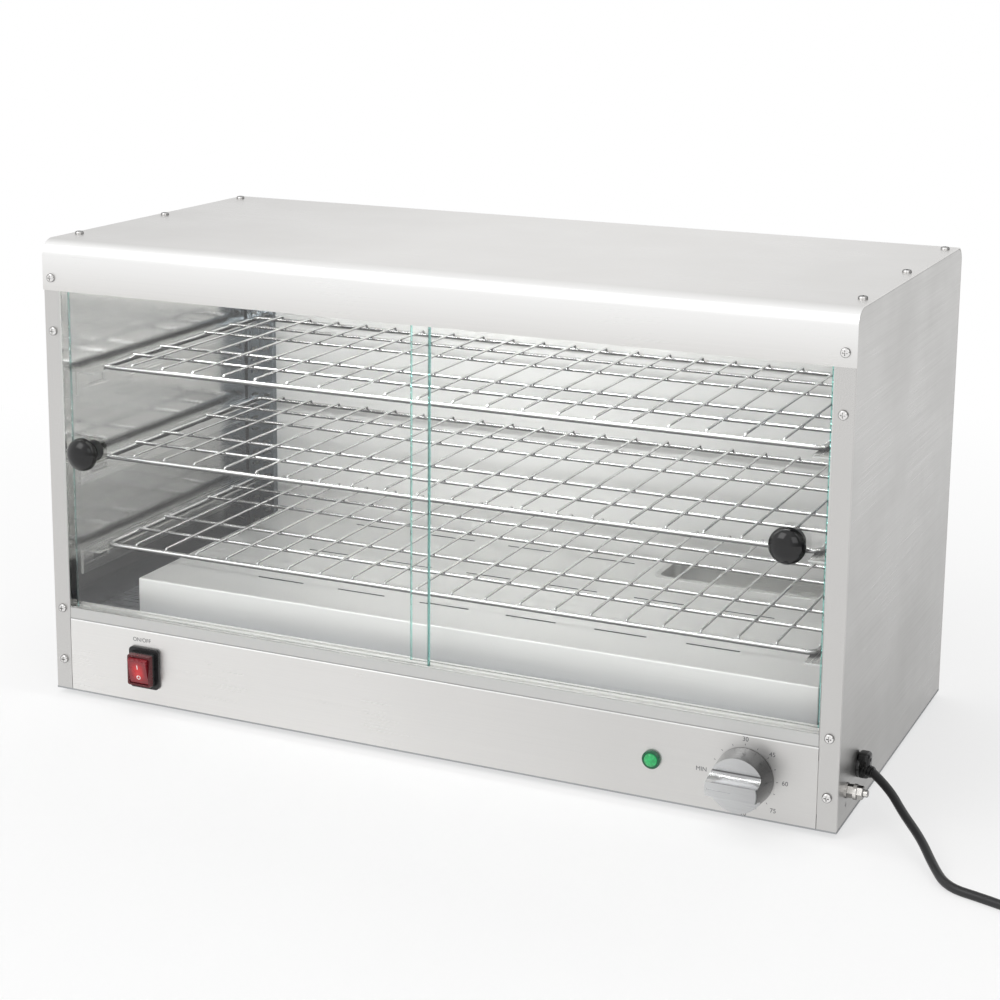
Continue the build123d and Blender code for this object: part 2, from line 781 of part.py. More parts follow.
with BuildPart() as thin_wire:
    with BuildLine():
        FilletPolyline(
            (0, RACK_FRONT, STUB_Z),
            (0, RACK_FRONT, THIN_Z),
            (0, RACK_BACK, THIN_Z),
            (0, RACK_BACK, STUB_Z),
            radius=rack_wire_bend,
        )
    with BuildSketch(Plane((0, RACK_FRONT, STUB_Z), x_dir=(1, 0, 0), z_dir=(0, 0, 1))):
        Circle(rack_thin_wire / 2)
    sweep()

with BuildPart() as rack_pattern:
    with BuildLine():
        FilletPolyline(
            (CENTRE_X, RACK_FRONT, 0),
            (RACK_RIGHT, RACK_FRONT, 0),
            (RACK_RIGHT, RACK_BACK, 0),
            (RACK_LEFT, RACK_BACK, 0),
            (RACK_LEFT, RACK_FRONT, 0),
            close=True,
            radius=[0] + 4 * [rack_corner_radius],
        )
    with BuildSketch(Plane((CENTRE_X, RACK_FRONT, 0), x_dir=(0, 1, 0), z_dir=(1, 0, 0))):
        Circle(rack_frame_wire / 2)
    sweep()
    cross_rows = [RACK_FRONT + rack_cross_outer, RACK_FRONT + rack_cross_inner]
    cross_rows += [RACK_BACK - rack_cross_inner, RACK_BACK - rack_cross_outer]
    with BuildSketch(Plane.YZ.offset(RACK_LEFT)):
        with Locations(*[(y, CROSS_Z) for y in cross_rows]):
            Circle(rack_cross_wire / 2)
    extrude(amount=RACK_RIGHT - RACK_LEFT)
    with Locations((CENTRE_X, 0, 0)):
        with GridLocations((RACK_RIGHT - RACK_LEFT) / (rack_wire_count + 1), 0, rack_wire_count, 1):
            add(thin_wire.part)

with BuildPart() as rack_bottom:
    add(rack_pattern.part.moved(Location((0, 0, rack_heights[0]))))
save(rack_bottom, "rack_bottom")
with BuildPart() as rack_middle:
    add(rack_pattern.part.moved(Location((0, 0, rack_heights[1]))))
save(rack_middle, "rack_middle")
with BuildPart() as rack_top:
    add(rack_pattern.part.moved(Location((0, 0, rack_heights[2]))))
save(rack_top, "rack_top")

# Ledges under the racks and the slotted uprights in the rear corners
LEDGE_REACH = rack_side_gap + rack_frame_wire + ledge_margin
LEDGE_FRONT = FACE + ledge_setback
LEDGE_BACK = WALL_BACK - upright_depth


def ledges(wall, inward):
    """Three angle rails on one side wall, with a lanced slot near the front of each web."""
    with BuildPart() as rails:
        for height in rack_heights:
            top = height - rack_frame_wire / 2
            web_start = min(wall, wall + inward * ledge_sheet)
            with Locations((web_start, LEDGE_FRONT, top - ledge_web)):
                Box(ledge_sheet, LEDGE_BACK - LEDGE_FRONT, ledge_web, align=CORNER)
            with Locations((min(wall, wall + inward * LEDGE_REACH), LEDGE_FRONT, top - ledge_sheet)):
                Box(LEDGE_REACH, LEDGE_BACK - LEDGE_FRONT, ledge_sheet, align=CORNER)
            with BuildSketch(Plane.YZ.offset(web_start)):
                slot_middle = LEDGE_FRONT + ledge_slot_front + ledge_slot_length / 2
                with Locations((slot_middle, top - ledge_web / 2)):
                    Rectangle(ledge_slot_length, ledge_slot_height)
            extrude(amount=ledge_sheet, mode=Mode.SUBTRACT)
    return rails


left_ledges = ledges(WALL_LEFT, 1)
save(left_ledges, "left_ledges")
right_ledges = ledges(WALL_RIGHT, -1)
save(right_ledges, "right_ledges")


def upright(middle):
    """A channel against the back wall with two columns of slanted slots."""
    with BuildPart() as channel:
        with Locations((middle - upright_width / 2, LEDGE_BACK, FLOOR)):
            Box(upright_width, upright_depth, CEILING - FLOOR, align=CORNER)
        with Locations((middle - upright_width / 2 + upright_sheet, LEDGE_BACK + upright_sheet, FLOOR)):
            hollow = upright_width - 2 * upright_sheet
            Box(hollow, upright_depth, CEILING - FLOOR, align=CORNER, mode=Mode.SUBTRACT)
        rows = int((CEILING - FLOOR - upright_slot_pitch) // upright_slot_pitch)
        with BuildSketch(Plane.XZ.offset(-LEDGE_BACK)):
            with Locations((middle, (FLOOR + CEILING) / 2)):
                with GridLocations(upright_slot_spacing, upright_slot_pitch, 2, rows):
                    SlotOverall(upright_slot_length, upright_slot_height, rotation=upright_slot_tilt)
        extrude(amount=-upright_sheet, mode=Mode.SUBTRACT)
    return channel


left_upright = upright(WALL_LEFT + upright_side_gap + upright_width / 2)
save(left_upright, "left_upright")
right_upright = upright(WALL_RIGHT - upright_side_gap - upright_width / 2)
save(right_upright, "right_upright")

# Slotted cover over the heater
TRAY_HOLE_LENGTH = tray_length - 2 * tray_rim + 2 * tray_hole_clearance
TRAY_HOLE_WIDTH = tray_width - 2 * tray_rim + 2 * tray_hole_clearance
with BuildPart() as heater_cover:
    cover_middle = ((COVER_LEFT + COVER_RIGHT) / 2, (COVER_FRONT + COVER_BACK) / 2)
    with BuildSketch(Plane.XY.offset(FLOOR)) as cover_plan:
        with Locations(cover_middle):
            Rectangle(COVER_RIGHT - COVER_LEFT, COVER_BACK - COVER_FRONT)
        fillet(cover_plan.vertices(), cover_corner_radius)
    extrude(amount=cover_height)
    fillet(heater_cover.faces().sort_by(Axis.Z)[-1].edges(), cover_corner_radius)
    with BuildSketch(Plane.XY.offset(FLOOR)):
        with Locations(cover_middle):
            Rectangle(COVER_RIGHT - COVER_LEFT - 2 * cover_sheet, COVER_BACK - COVER_FRONT - 2 * cover_sheet)
    extrude(amount=cover_height - cover_sheet, mode=Mode.SUBTRACT)
    slots_left = COVER_LEFT + cover_slot_left
    slots_right = COVER_RIGHT - cover_slot_right
    slot_pitch = (slots_right - slots_left) / (cover_slot_columns - 1)
    first_row = COVER_FRONT + cover_slot_row_front
    last_row = COVER_BACK - cover_slot_row_rear
    row_pitch = (last_row - first_row) / 2
    last_slot = TRAY_X - TRAY_HOLE_LENGTH / 2 - cover_slot_tray_gap - cover_slot_length / 2
    with BuildSketch(Plane.XY.offset(COVER_TOP - cover_sheet)):
        with Locations(((slots_left + slots_right) / 2, first_row + row_pitch / 2)):
            with GridLocations(slot_pitch, row_pitch, cover_slot_columns, 2):
                SlotOverall(cover_slot_length, cover_slot_width)
        with Locations((last_slot - slot_pitch * (cover_slot_columns - 3) / 2, last_row)):
            with GridLocations(slot_pitch, 0, cover_slot_columns - 2, 1):
                SlotOverall(cover_slot_length, cover_slot_width)
        with Locations((TRAY_X, TRAY_Y)):
            RectangleRounded(TRAY_HOLE_LENGTH, TRAY_HOLE_WIDTH, tray_corner)
    extrude(amount=cover_sheet, mode=Mode.SUBTRACT)
save(heater_cover, "heater_cover")

with BuildPart() as tray_hollow:
    with BuildSketch(Plane.XY.offset(COVER_TOP + tray_sheet)):
        with Locations((TRAY_X, TRAY_Y)):
            RectangleRounded(
                tray_length - 2 * tray_rim - 2 * tray_sheet,
                tray_width - 2 * tray_rim - 2 * tray_sheet,
                tray_corner - tray_sheet,
            )
    extrude(amount=-tray_depth)
    fillet(tray_hollow.faces().sort_by(Axis.Z)[0].edges(), tray_bottom_radius - tray_sheet)

with BuildPart() as water_tray:
    with BuildSketch(Plane.XY.offset(COVER_TOP)):
        with Locations((TRAY_X, TRAY_Y)):
            RectangleRounded(tray_length, tray_width, tray_corner + tray_rim)
    extrude(amount=tray_sheet)
    with BuildSketch(Plane.XY.offset(COVER_TOP)):
        with Locations((TRAY_X, TRAY_Y)):
            RectangleRounded(tray_length - 2 * tray_rim, tray_width - 2 * tray_rim, tray_corner)
    extrude(amount=-tray_depth)
    fillet(water_tray.faces().sort_by(Axis.Z)[0].edges(), tray_bottom_radius)
    add(tray_hollow.part, mode=Mode.SUBTRACT)
save(water_tray, "water_tray")

# Tubular heating elements, each a hairpin with both tails through the floor, and their brackets
with BuildPart() as heating_elements:
    for row in element_rows:
        near = row - element_span / 2
        far = row + element_span / 2
        turn_x = ELEMENT_RIGHT - element_span / 2
        with BuildLine():
            FilletPolyline(
                (ELEMENT_LEFT, near, TAIL_Z),
                (ELEMENT_LEFT, near, ELEMENT_Z),
                (turn_x, near, ELEMENT_Z),
                radius=element_bend,
            )
            ThreePointArc(
                (turn_x, near, ELEMENT_Z),
                (ELEMENT_RIGHT, row, ELEMENT_Z),
                (turn_x, far, ELEMENT_Z),
            )
            FilletPolyline(
                (turn_x, far, ELEMENT_Z),
                (ELEMENT_LEFT, far, ELEMENT_Z),
                (ELEMENT_LEFT, far, TAIL_Z),
                radius=element_bend,
            )
        with BuildSketch(Plane.XY.offset(TAIL_Z)):
            with Locations((ELEMENT_LEFT, near)):
                Circle(element_diameter / 2)
        sweep()
save(heating_elements, "heating_elements")

with BuildPart() as element_brackets:
    for row in element_rows:
        for start in (ELEMENT_LEFT + bracket_from_left, ELEMENT_RIGHT - bracket_from_right):
            half = element_span / 2 + bracket_margin
            with Locations((start, row - half, FLOOR)):
                Box(bracket_sheet, 2 * half, element_height + bracket_margin, align=CORNER)
                Box(bracket_foot, 2 * half, bracket_sheet, align=CORNER)
            rods = [(row - element_span / 2, ELEMENT_Z), (row + element_span / 2, ELEMENT_Z)]
            drill(Plane.YZ.offset(start), rods, element_diameter / 2 + bracket_clearance, bracket_sheet)
save(element_brackets, "element_brackets")

# Thermostat behind the panel with its stem, bulb and capillary
THERMOSTAT_BACK = FACE_IN + thermostat_depth
with BuildPart() as thermostat_body:
    with BuildSketch(Plane.XZ.offset(-FACE_IN)):
        with Locations((DIAL_X, DIAL_Z)):
            RectangleRounded(thermostat_width, thermostat_height, thermostat_edge)
    extrude(amount=-thermostat_depth)
    with BuildSketch(Plane.XZ.offset(-FACE_IN)):
        with Locations((DIAL_X, DIAL_Z)):
            Circle(bush_diameter / 2)
    extrude(amount=bush_length)
    stem_hole = stem_diameter / 2 + stem_clearance
    with BuildSketch(Plane.XZ.offset(-FACE_IN + bush_length)):
        with Locations((DIAL_X, DIAL_Z)):
            Circle(stem_hole)
    extrude(amount=-bush_length - stem_in_body, mode=Mode.SUBTRACT)
    with BuildSketch(Plane.XZ.offset(-FACE_IN)):
        with Locations((DIAL_X, DIAL_Z)):
            with GridLocations(thermostat_screw_span, 0, 2, 1):
                Circle(HOLE)
    extrude(amount=-shank_length, mode=Mode.SUBTRACT)
save(thermostat_body, "thermostat_body")

thermostat_screw_places = [(DIAL_X + side * thermostat_screw_span / 2, FACE, DIAL_Z) for side in (-1, 1)]
thermostat_screws = row_of_screws(thermostat_screw_places, FACING_FRONT, shank_length)
save(thermostat_screws, "thermostat_screws")

KNOB_BACK = FACE - knob_gap
KNOB_FRONT = KNOB_BACK - knob_depth
STEM_FRONT = FACE_IN - bush_length - stem_in_knob
with BuildPart() as thermostat_stem:
    with BuildSketch(Plane.XZ.offset(-STEM_FRONT)):
        with Locations((DIAL_X, DIAL_Z)):
            Circle(stem_diameter / 2)
    extrude(amount=STEM_FRONT - FACE_IN - stem_in_body)
save(thermostat_stem, "thermostat_stem")

with BuildPart() as thermostat_knob:
    with BuildSketch(Plane.XZ.offset(-KNOB_BACK)):
        with Locations((DIAL_X, DIAL_Z)):
            Circle(knob_diameter / 2)
    extrude(amount=knob_depth, taper=degrees(atan2(knob_draft, knob_skirt)))
    fillet(thermostat_knob.faces().sort_by(Axis.Y)[0].edges(), knob_tip_round)
    shoulder = KNOB_BACK - knob_skirt
    half_height = knob_diameter / 2 + knob_gap
    for side in (-1, 1):
        with BuildSketch(Plane.YZ.offset(DIAL_X - half_height)):
            with BuildLine():
                grip_low = DIAL_Z + side * grip_root / 2
                grip_high = DIAL_Z + side * grip_tip / 2
                outside = DIAL_Z + side * half_height
                middle = (grip_low + grip_high) / 2 - side * grip_scoop
                scoop = ((shoulder + KNOB_FRONT) / 2, middle)
                ThreePointArc((shoulder, grip_low), scoop, (KNOB_FRONT, grip_high))
                Polyline(
                    (KNOB_FRONT, grip_high),
                    (KNOB_FRONT - knob_gap, grip_high),
                    (KNOB_FRONT - knob_gap, outside),
                    (shoulder, outside),
                    (shoulder, grip_low),
                )
            make_face()
        extrude(amount=2 * half_height, mode=Mode.SUBTRACT)
    with BuildSketch(Plane.XZ.offset(-KNOB_BACK)):
        with Locations((DIAL_X, DIAL_Z)):
            Circle(knob_diameter / 2 - knob_wall)
            Circle(knob_boss_diameter / 2, mode=Mode.SUBTRACT)
    extrude(amount=knob_hollow, mode=Mode.SUBTRACT)
    with BuildSketch(Plane.XZ.offset(-KNOB_BACK)):
        with Locations((DIAL_X, DIAL_Z)):
            Circle(bush_diameter / 2 + bush_knob_clearance)
    extrude(amount=bush_length, mode=Mode.SUBTRACT)
    with BuildSketch(Plane.XZ.offset(-KNOB_BACK)):
        with Locations((DIAL_X, DIAL_Z)):
            Circle(stem_hole)
    extrude(amount=KNOB_BACK - STEM_FRONT, mode=Mode.SUBTRACT)
    with BuildSketch(Plane.XZ.offset(-KNOB_FRONT)):
        with Locations((DIAL_X - grip_length / 4, DIAL_Z)):
            Rectangle(grip_length / 2, grip_mark_width)
    extrude(amount=-grip_mark_depth, mode=Mode.SUBTRACT)
save(thermostat_knob, "thermostat_knob")


def wire_run(points, diameter, radius):
    """Round wire bent along these points."""
    with BuildPart() as run:
        with BuildLine() as path:
            FilletPolyline(*points, radius=radius)
        with BuildSketch(Plane(path.line @ 0, z_dir=path.line % 0)):
            Circle(diameter / 2)
        sweep()
    return run.part


HOLE_X = BULB_X + bulb_length + 2 * capillary_bend
CAPILLARY_X = DIAL_X - thermostat_width / 4
CAPILLARY_Z = DIAL_Z + thermostat_height / 4
with BuildPart() as thermostat_bulb:
    with BuildSketch(Plane.YZ.offset(BULB_X)):
        with Locations((BULB_Y, BULB_Z)):
            Circle(bulb_diameter / 2)
    extrude(amount=bulb_length)
    fillet(thermostat_bulb.faces().sort_by(Axis.X)[0].edges(), bulb_round)
    capillary_route = [
        (BULB_X + bulb_length - capillary_bend, BULB_Y, BULB_Z),
        (HOLE_X, BULB_Y, BULB_Z),
        (HOLE_X, BULB_Y, CAPILLARY_Z),
        (CAPILLARY_X, BULB_Y, CAPILLARY_Z),
        (CAPILLARY_X, THERMOSTAT_BACK, CAPILLARY_Z),
    ]
    add(wire_run(capillary_route, capillary_diameter, capillary_bend))
save(thermostat_bulb, "thermostat_bulb")

# Rocker switch: housing with a pocket in which the rocker tilts about its trunnions
COLLAR_FRONT = FACE - collar_depth
PIVOT_Y = FACE - rocker_pivot_rise
with BuildPart() as switch_housing:
    with BuildSketch(Plane.XZ.offset(-FACE)):
        with Locations((SWITCH_X, SWITCH_Z)):
            RectangleRounded(switch_flange_width, switch_flange_height, switch_flange_corner)
    extrude(amount=switch_flange_depth)
    with BuildSketch(Plane.XZ.offset(-FACE + switch_flange_depth)):
        with Locations((SWITCH_X, SWITCH_Z)):
            RectangleRounded(collar_width, collar_height, collar_corner)
    with BuildSketch(Plane.XZ.offset(-COLLAR_FRONT)):
        with Locations((SWITCH_X, SWITCH_Z)):
            RectangleRounded(collar_front_width, collar_front_height, collar_corner)
    loft()
    with BuildSketch(Plane.XZ.offset(-FACE)):
        with Locations((SWITCH_X, SWITCH_Z)):
            Rectangle(switch_body_width, switch_body_height)
    extrude(amount=-sheet - switch_body_depth)
    with BuildSketch(Plane.XZ.offset(-COLLAR_FRONT)):
        with Locations((SWITCH_X, SWITCH_Z)):
            Rectangle(rocker_width + 2 * rocker_clearance, 2 * (rocker_radius + rocker_clearance))
    extrude(amount=-pocket_depth, mode=Mode.SUBTRACT)
    pivot_reach = rocker_width / 2 + pivot_length + pivot_clearance
    with BuildSketch(Plane.YZ.offset(SWITCH_X - pivot_reach)):
        with Locations((PIVOT_Y, SWITCH_Z)):
            Circle(pivot_diameter / 2 + pivot_clearance)
    extrude(amount=2 * pivot_reach, mode=Mode.SUBTRACT)
save(switch_housing, "switch_housing")

with BuildPart() as rocker_blank:
    with BuildSketch(Plane.YZ.offset(-rocker_width / 2)):
        Circle(rocker_radius)
        with Locations((-rocker_face - rocker_radius, 0)):
            Rectangle(2 * rocker_radius, 2 * rocker_radius, mode=Mode.SUBTRACT)
        with Locations((rocker_back + rocker_radius, 0)):
            Rectangle(2 * rocker_radius, 2 * rocker_radius, mode=Mode.SUBTRACT)
    extrude(amount=rocker_width)
    with BuildSketch(Plane.YZ.offset(-rocker_width / 2 - pivot_length)):
        Circle(pivot_diameter / 2)
    extrude(amount=rocker_width + 2 * pivot_length)
with BuildPart() as switch_rocker:
    add(rocker_blank.part.moved(Location((SWITCH_X, PIVOT_Y, SWITCH_Z), (rocker_tilt, 0, 0))))
save(switch_rocker, "switch_rocker")

# Indicator lamp
with BuildPart() as lamp_bezel:
    with BuildSketch(Plane.XZ.offset(-FACE)):
        with Locations((LAMP_X, LAMP_Z)):
            Circle(lamp_flange_diameter / 2)
    extrude(amount=lamp_flange_depth)
    chamfer(lamp_bezel.faces().sort_by(Axis.Y)[0].edges(), lamp_edge)
    with BuildSketch(Plane.XZ.offset(-FACE)):
        with Locations((LAMP_X, LAMP_Z)):
            Circle(lamp_body_diameter / 2)
    extrude(amount=-lamp_body_length)
    with BuildSketch(Plane.XZ.offset(-FACE + lamp_flange_depth)):
        with Locations((LAMP_X, LAMP_Z)):
            Circle(lamp_lens_diameter / 2 + lamp_lens_clearance)
    extrude(amount=-lamp_lens_seat, mode=Mode.SUBTRACT)
save(lamp_bezel, "lamp_bezel")

LENS_BACK = FACE - lamp_flange_depth + lamp_lens_seat
with BuildPart() as lamp_lens:
    with BuildSketch(Plane.XY):
        with BuildLine():
            lens_radius = lamp_lens_diameter / 2
            lens_top = lamp_lens_seat + lamp_lens_rise
            Polyline((0, lens_top), (0, 0), (lens_radius, 0), (lens_radius, lamp_lens_seat))
            Spline(
                (lens_radius, lamp_lens_seat),
                (lens_radius * 0.7, lamp_lens_seat + lamp_lens_rise * 0.7),
                (0, lens_top),
                tangents=[(-0.2, 1), (-1, 0)],
            )
        make_face()
    revolve(axis=Axis.Y)
lens_place = Location((LAMP_X, LENS_BACK, LAMP_Z), (180, 0, 0))
with BuildPart() as indicator_lens:
    add(lamp_lens.part.moved(lens_place))
save(indicator_lens, "lamp_lens")

# Terminal block on the base plate
BLOCK_TOP = BASE_TOP + block_height
WAY_Z = BASE_TOP + block_way_height - block_well_depth
BLOCK_FRONT = BLOCK_Y - block_width / 2
BLOCK_END = BLOCK_X + block_length / 2
way_places = [BLOCK_X + (slot - 1.5) * block_way_pitch for slot in (0, 1, 2, 3)]
well_places = [(x, BLOCK_Y) for x in way_places]
with BuildPart() as terminal_block:
    with Locations((BLOCK_X - block_length / 2, BLOCK_FRONT, BASE_TOP)):
        Box(block_length, block_width, block_height, align=CORNER)
    chamfer(terminal_block.faces().sort_by(Axis.Z)[-1].edges(), block_chamfer)
    drill(Plane.XY.offset(BLOCK_TOP), well_places, block_well_diameter / 2, -block_well_depth)
save(terminal_block, "terminal_block")

with BuildPart() as block_screws:
    well_floor = BLOCK_TOP - block_well_depth
    with BuildSketch(Plane.XY.offset(well_floor)):
        with Locations(*well_places):
            Circle(block_screw_diameter / 2)
    extrude(amount=block_screw_height)
    with BuildSketch(Plane.XY.offset(well_floor + block_screw_height)):
        with Locations(*well_places):
            Rectangle(block_screw_diameter, cross_width)
    extrude(amount=-cross_depth, mode=Mode.SUBTRACT)
save(block_screws, "block_screws")

# Leads between block, switch, lamp, thermostat and elements
LEAD_Z = BASE_TOP + lead_height
SWITCH_BACK = FACE_IN + switch_body_depth
LAMP_BACK = FACE + lamp_body_length
lead_rows = [BLOCK_FRONT - lead_run, BLOCK_FRONT - 2 * lead_run, BLOCK_FRONT - 4 * lead_run]
lead_rows.append(BLOCK_FRONT - 3 * lead_run + lead_diameter)
turn_y = SWITCH_BACK + 2 * lead_bend
first_tail, second_tail, third_tail, fourth_tail = [place[1] for place in tail_places]
lead_routes = [
    [
        (way_places[0], BLOCK_FRONT, LEAD_Z),
        (way_places[0], lead_rows[0], LEAD_Z),
        (SWITCH_X, lead_rows[0], LEAD_Z),
        (SWITCH_X, turn_y, LEAD_Z),
        (SWITCH_X, turn_y, SWITCH_Z + 1),
        (SWITCH_X, SWITCH_BACK, SWITCH_Z + 1),
    ],
    [
        (way_places[1], BLOCK_FRONT, LEAD_Z),
        (way_places[1], third_tail, LEAD_Z),
        (ELEMENT_LEFT, third_tail, LEAD_Z),
        (ELEMENT_LEFT, third_tail, TAIL_Z),
    ],
    [
        (way_places[2], BLOCK_FRONT, LEAD_Z),
        (way_places[2], lead_rows[2], LEAD_Z),
        (LAMP_X, lead_rows[2], LEAD_Z),
        (LAMP_X, turn_y, LEAD_Z),
        (LAMP_X, turn_y, LAMP_Z),
        (LAMP_X, LAMP_BACK, LAMP_Z),
    ],
    [
        (way_places[3], BLOCK_FRONT, LEAD_Z),
        (way_places[3], lead_rows[3], LEAD_Z),
        (DIAL_X, lead_rows[3], LEAD_Z),
        (DIAL_X, THERMOSTAT_BACK, LEAD_Z),
    ],
    [
        (ELEMENT_LEFT, fourth_tail, TAIL_Z),
        (ELEMENT_LEFT, fourth_tail, TAIL_Z - link_drop),
        (ELEMENT_LEFT - link_reach, fourth_tail, TAIL_Z - link_drop),
        (ELEMENT_LEFT - link_reach, second_tail, TAIL_Z - link_drop),
        (ELEMENT_LEFT, second_tail, TAIL_Z - link_drop),
        (ELEMENT_LEFT, second_tail, TAIL_Z),
    ],
    [
        (ELEMENT_LEFT, first_tail, TAIL_Z),
        (ELEMENT_LEFT, first_tail, TAIL_Z - link_drop),
        (DIAL_X - thermostat_width / 4, first_tail, TAIL_Z - link_drop),
        (DIAL_X - thermostat_width / 4, THERMOSTAT_BACK, TAIL_Z - link_drop),
    ],
]
with BuildPart() as wiring:
    for points in lead_routes:
        add(wire_run(points, lead_diameter, lead_bend))
save(wiring, "wiring")

# Bonding terminal
with BuildPart() as bonding_stud:
    with BuildSketch(Plane.YZ.offset(RIGHT - sheet)):
        with Locations((BOND_Y, BOND_Z)):
            RegularPolygon(bond_head_across / 2, 6, major_radius=False)
    extrude(amount=-bond_head_height)
    with BuildSketch(Plane.YZ.offset(RIGHT - sheet)):
        with Locations((BOND_Y, BOND_Z)):
            Circle(bond_stud_diameter / 2)
    extrude(amount=sheet + bond_reach)
    chamfer(bonding_stud.faces().sort_by(Axis.X)[-1].edges(), bond_chamfer)
save(bonding_stud, "bonding_stud")

stack_starts = [RIGHT + sum(bond_stack[:count]) for count in range(len(bond_stack))]
with BuildPart() as bonding_washers:
    for level in (0, 2, 3):
        with BuildSketch(Plane.YZ.offset(stack_starts[level])):
            with Locations((BOND_Y, BOND_Z)):
                Circle(bond_washer_diameter / 2)
                Circle(bond_stud_diameter / 2 + bond_clearance, mode=Mode.SUBTRACT)
        extrude(amount=bond_washer_thickness)
save(bonding_washers, "bonding_washers")

with BuildPart() as bonding_nuts:
    for level in (1, 4):
        with BuildSketch(Plane.YZ.offset(stack_starts[level])):
            with Locations((BOND_Y, BOND_Z)):
                RegularPolygon(bond_nut_across / 2, 6, major_radius=False)
        extrude(amount=bond_nut_height)
    outer_nut = bonding_nuts.edges().group_by(Axis.X)[-1]
    chamfer(outer_nut, bond_chamfer)
    for level in (1, 4):
        with BuildSketch(Plane.YZ.offset(stack_starts[level])):
            with Locations((BOND_Y, BOND_Z)):
                Circle(bond_stud_diameter / 2 + bond_clearance)
        extrude(amount=bond_nut_height, mode=Mode.SUBTRACT)
save(bonding_nuts, "bonding_nuts")

# Strain relief, its tip turned the way that the cord leaves it, and the mains cord
RELIEF_TAIL = RIGHT - sheet - relief_tail_length
cord_points = [(RIGHT + relief_length, CORD_Y - relief_tip_side, CORD_Z - relief_tip_drop)]
for reach, back, height in cord_bends:
    cord_points.append((RIGHT + reach, CORD_Y + back, max(height, cord_diameter / 2)))
cord_runs = []
for start, end in zip(cord_points, cord_points[1:]):
    cord_runs.append(Vector(*end) - Vector(*start))
with BuildPart() as strain_relief:
    with BuildSketch(Plane.YZ.offset(RELIEF_TAIL)):
        with Locations((CORD_Y, CORD_Z)):
            Circle(relief_hole / 2)
    extrude(amount=RIGHT - RELIEF_TAIL)
    with BuildSketch(Plane.YZ.offset(RIGHT)):
        with Locations((CORD_Y, CORD_Z)):
            Circle(relief_flange_diameter / 2)
    extrude(amount=relief_flange_depth)
    with BuildSketch(Plane.YZ.offset(RIGHT + relief_flange_depth)):
        with Locations((CORD_Y, CORD_Z)):
            Circle(relief_root_diameter / 2)
    with BuildSketch(Plane(cord_points[0], x_dir=(0, 1, 0), z_dir=cord_runs[0])):
        Circle(relief_tip_diameter / 2)
    loft()
save(strain_relief, "strain_relief")

with BuildPart() as cord_inner_end:
    sheath_route = [
        (RELIEF_TAIL, CORD_Y, CORD_Z),
        (RELIEF_TAIL - sheath_reach, CORD_Y, CORD_Z),
        (RELIEF_TAIL - sheath_reach, BLOCK_Y, CORD_Z),
        (RELIEF_TAIL - sheath_reach, BLOCK_Y, WAY_Z),
        (BLOCK_END, BLOCK_Y, WAY_Z),
    ]
    add(wire_run(sheath_route, cord_diameter, sheath_bend))
save(cord_inner_end, "cord_inner_end")

cord_radii = []
for before, after in zip(cord_runs, cord_runs[1:]):
    turn = radians(before.get_angle(after))
    cord_radii.append(0.45 * min(before.length, after.length) / tan(turn / 2))
print("cord bend radii:", [round(radius, 1) for radius in cord_radii])
with BuildPart() as mains_cord:
    with BuildLine() as cord_path:
        FilletPolyline(*cord_points, radius=cord_radii)
    with BuildSketch(Plane(cord_path.line @ 0, z_dir=cord_path.line % 0)):
        Circle(cord_diameter / 2)
    sweep()
save(mains_cord, "mains_cord")
cord_section = pi * cord_diameter**2 / 4
cord_length = sum(edge.length for edge in cord_path.edges())
print("cord volume over section times length:", mains_cord.part.volume / (cord_section * cord_length))
print("cord length outside the coil:", cord_length)

# The rest of the cord, wound into a coil, and its plug
cord_end = cord_points[-1]
TURN_PITCH = cord_diameter + coil_gap
COIL_OUTER = coil_turn_radius + coil_width_turns * TURN_PITCH / 2
COIL_INNER = coil_turn_radius - coil_width_turns * TURN_PITCH / 2
COIL_TALL = coil_height_turns * cord_diameter
LAST_TURN = COIL_OUTER - TURN_PITCH / 2
COIL_X = cord_end[0] + coil_stub
COIL_Y = cord_end[1] + LAST_TURN
EXIT_Z = coil_rise + 1.5 * cord_diameter
with BuildPart() as cord_coil:
    with BuildSketch(Plane.XY.offset(coil_rise)):
        with Locations((COIL_X, COIL_Y)):
            Circle(COIL_OUTER)
            Circle(COIL_INNER, mode=Mode.SUBTRACT)
    extrude(amount=COIL_TALL)
    fillet(cord_coil.edges(), coil_corner)
    with BuildSketch(Plane.YZ.offset(cord_end[0])):
        with Locations((cord_end[1], cord_end[2])):
            Circle(cord_diameter / 2)
    extrude(amount=coil_stub)
    with BuildSketch(Plane.XZ.offset(-COIL_Y - coil_stub)):
        with Locations((COIL_X + LAST_TURN, EXIT_Z)):
            Circle(cord_diameter / 2)
    extrude(amount=coil_stub)
save(cord_coil, "cord_coil")
print("cord in the coil:", 2 * pi * coil_turn_radius * coil_turns)

PLUG_X = COIL_X + LAST_TURN
NOSE_Y = COIL_Y + coil_stub
PLUG_Y = NOSE_Y + plug_nose_length
PLUG_LOW = 0
with BuildPart() as plug:
    with BuildSketch(Plane.XY.offset(PLUG_LOW)):
        with Locations((PLUG_X, PLUG_Y + plug_length / 2)):
            RectangleRounded(plug_width, plug_length, plug_corner)
    extrude(amount=plug_thickness)
    fillet(plug.faces().sort_by(Axis.Z)[-1].edges(), plug_edge)
    with BuildSketch(Plane.XZ.offset(-NOSE_Y)):
        with Locations((PLUG_X, EXIT_Z)):
            Circle(plug_nose_diameter / 2)
    extrude(amount=-plug_nose_length - plug_edge)
save(plug, "plug")

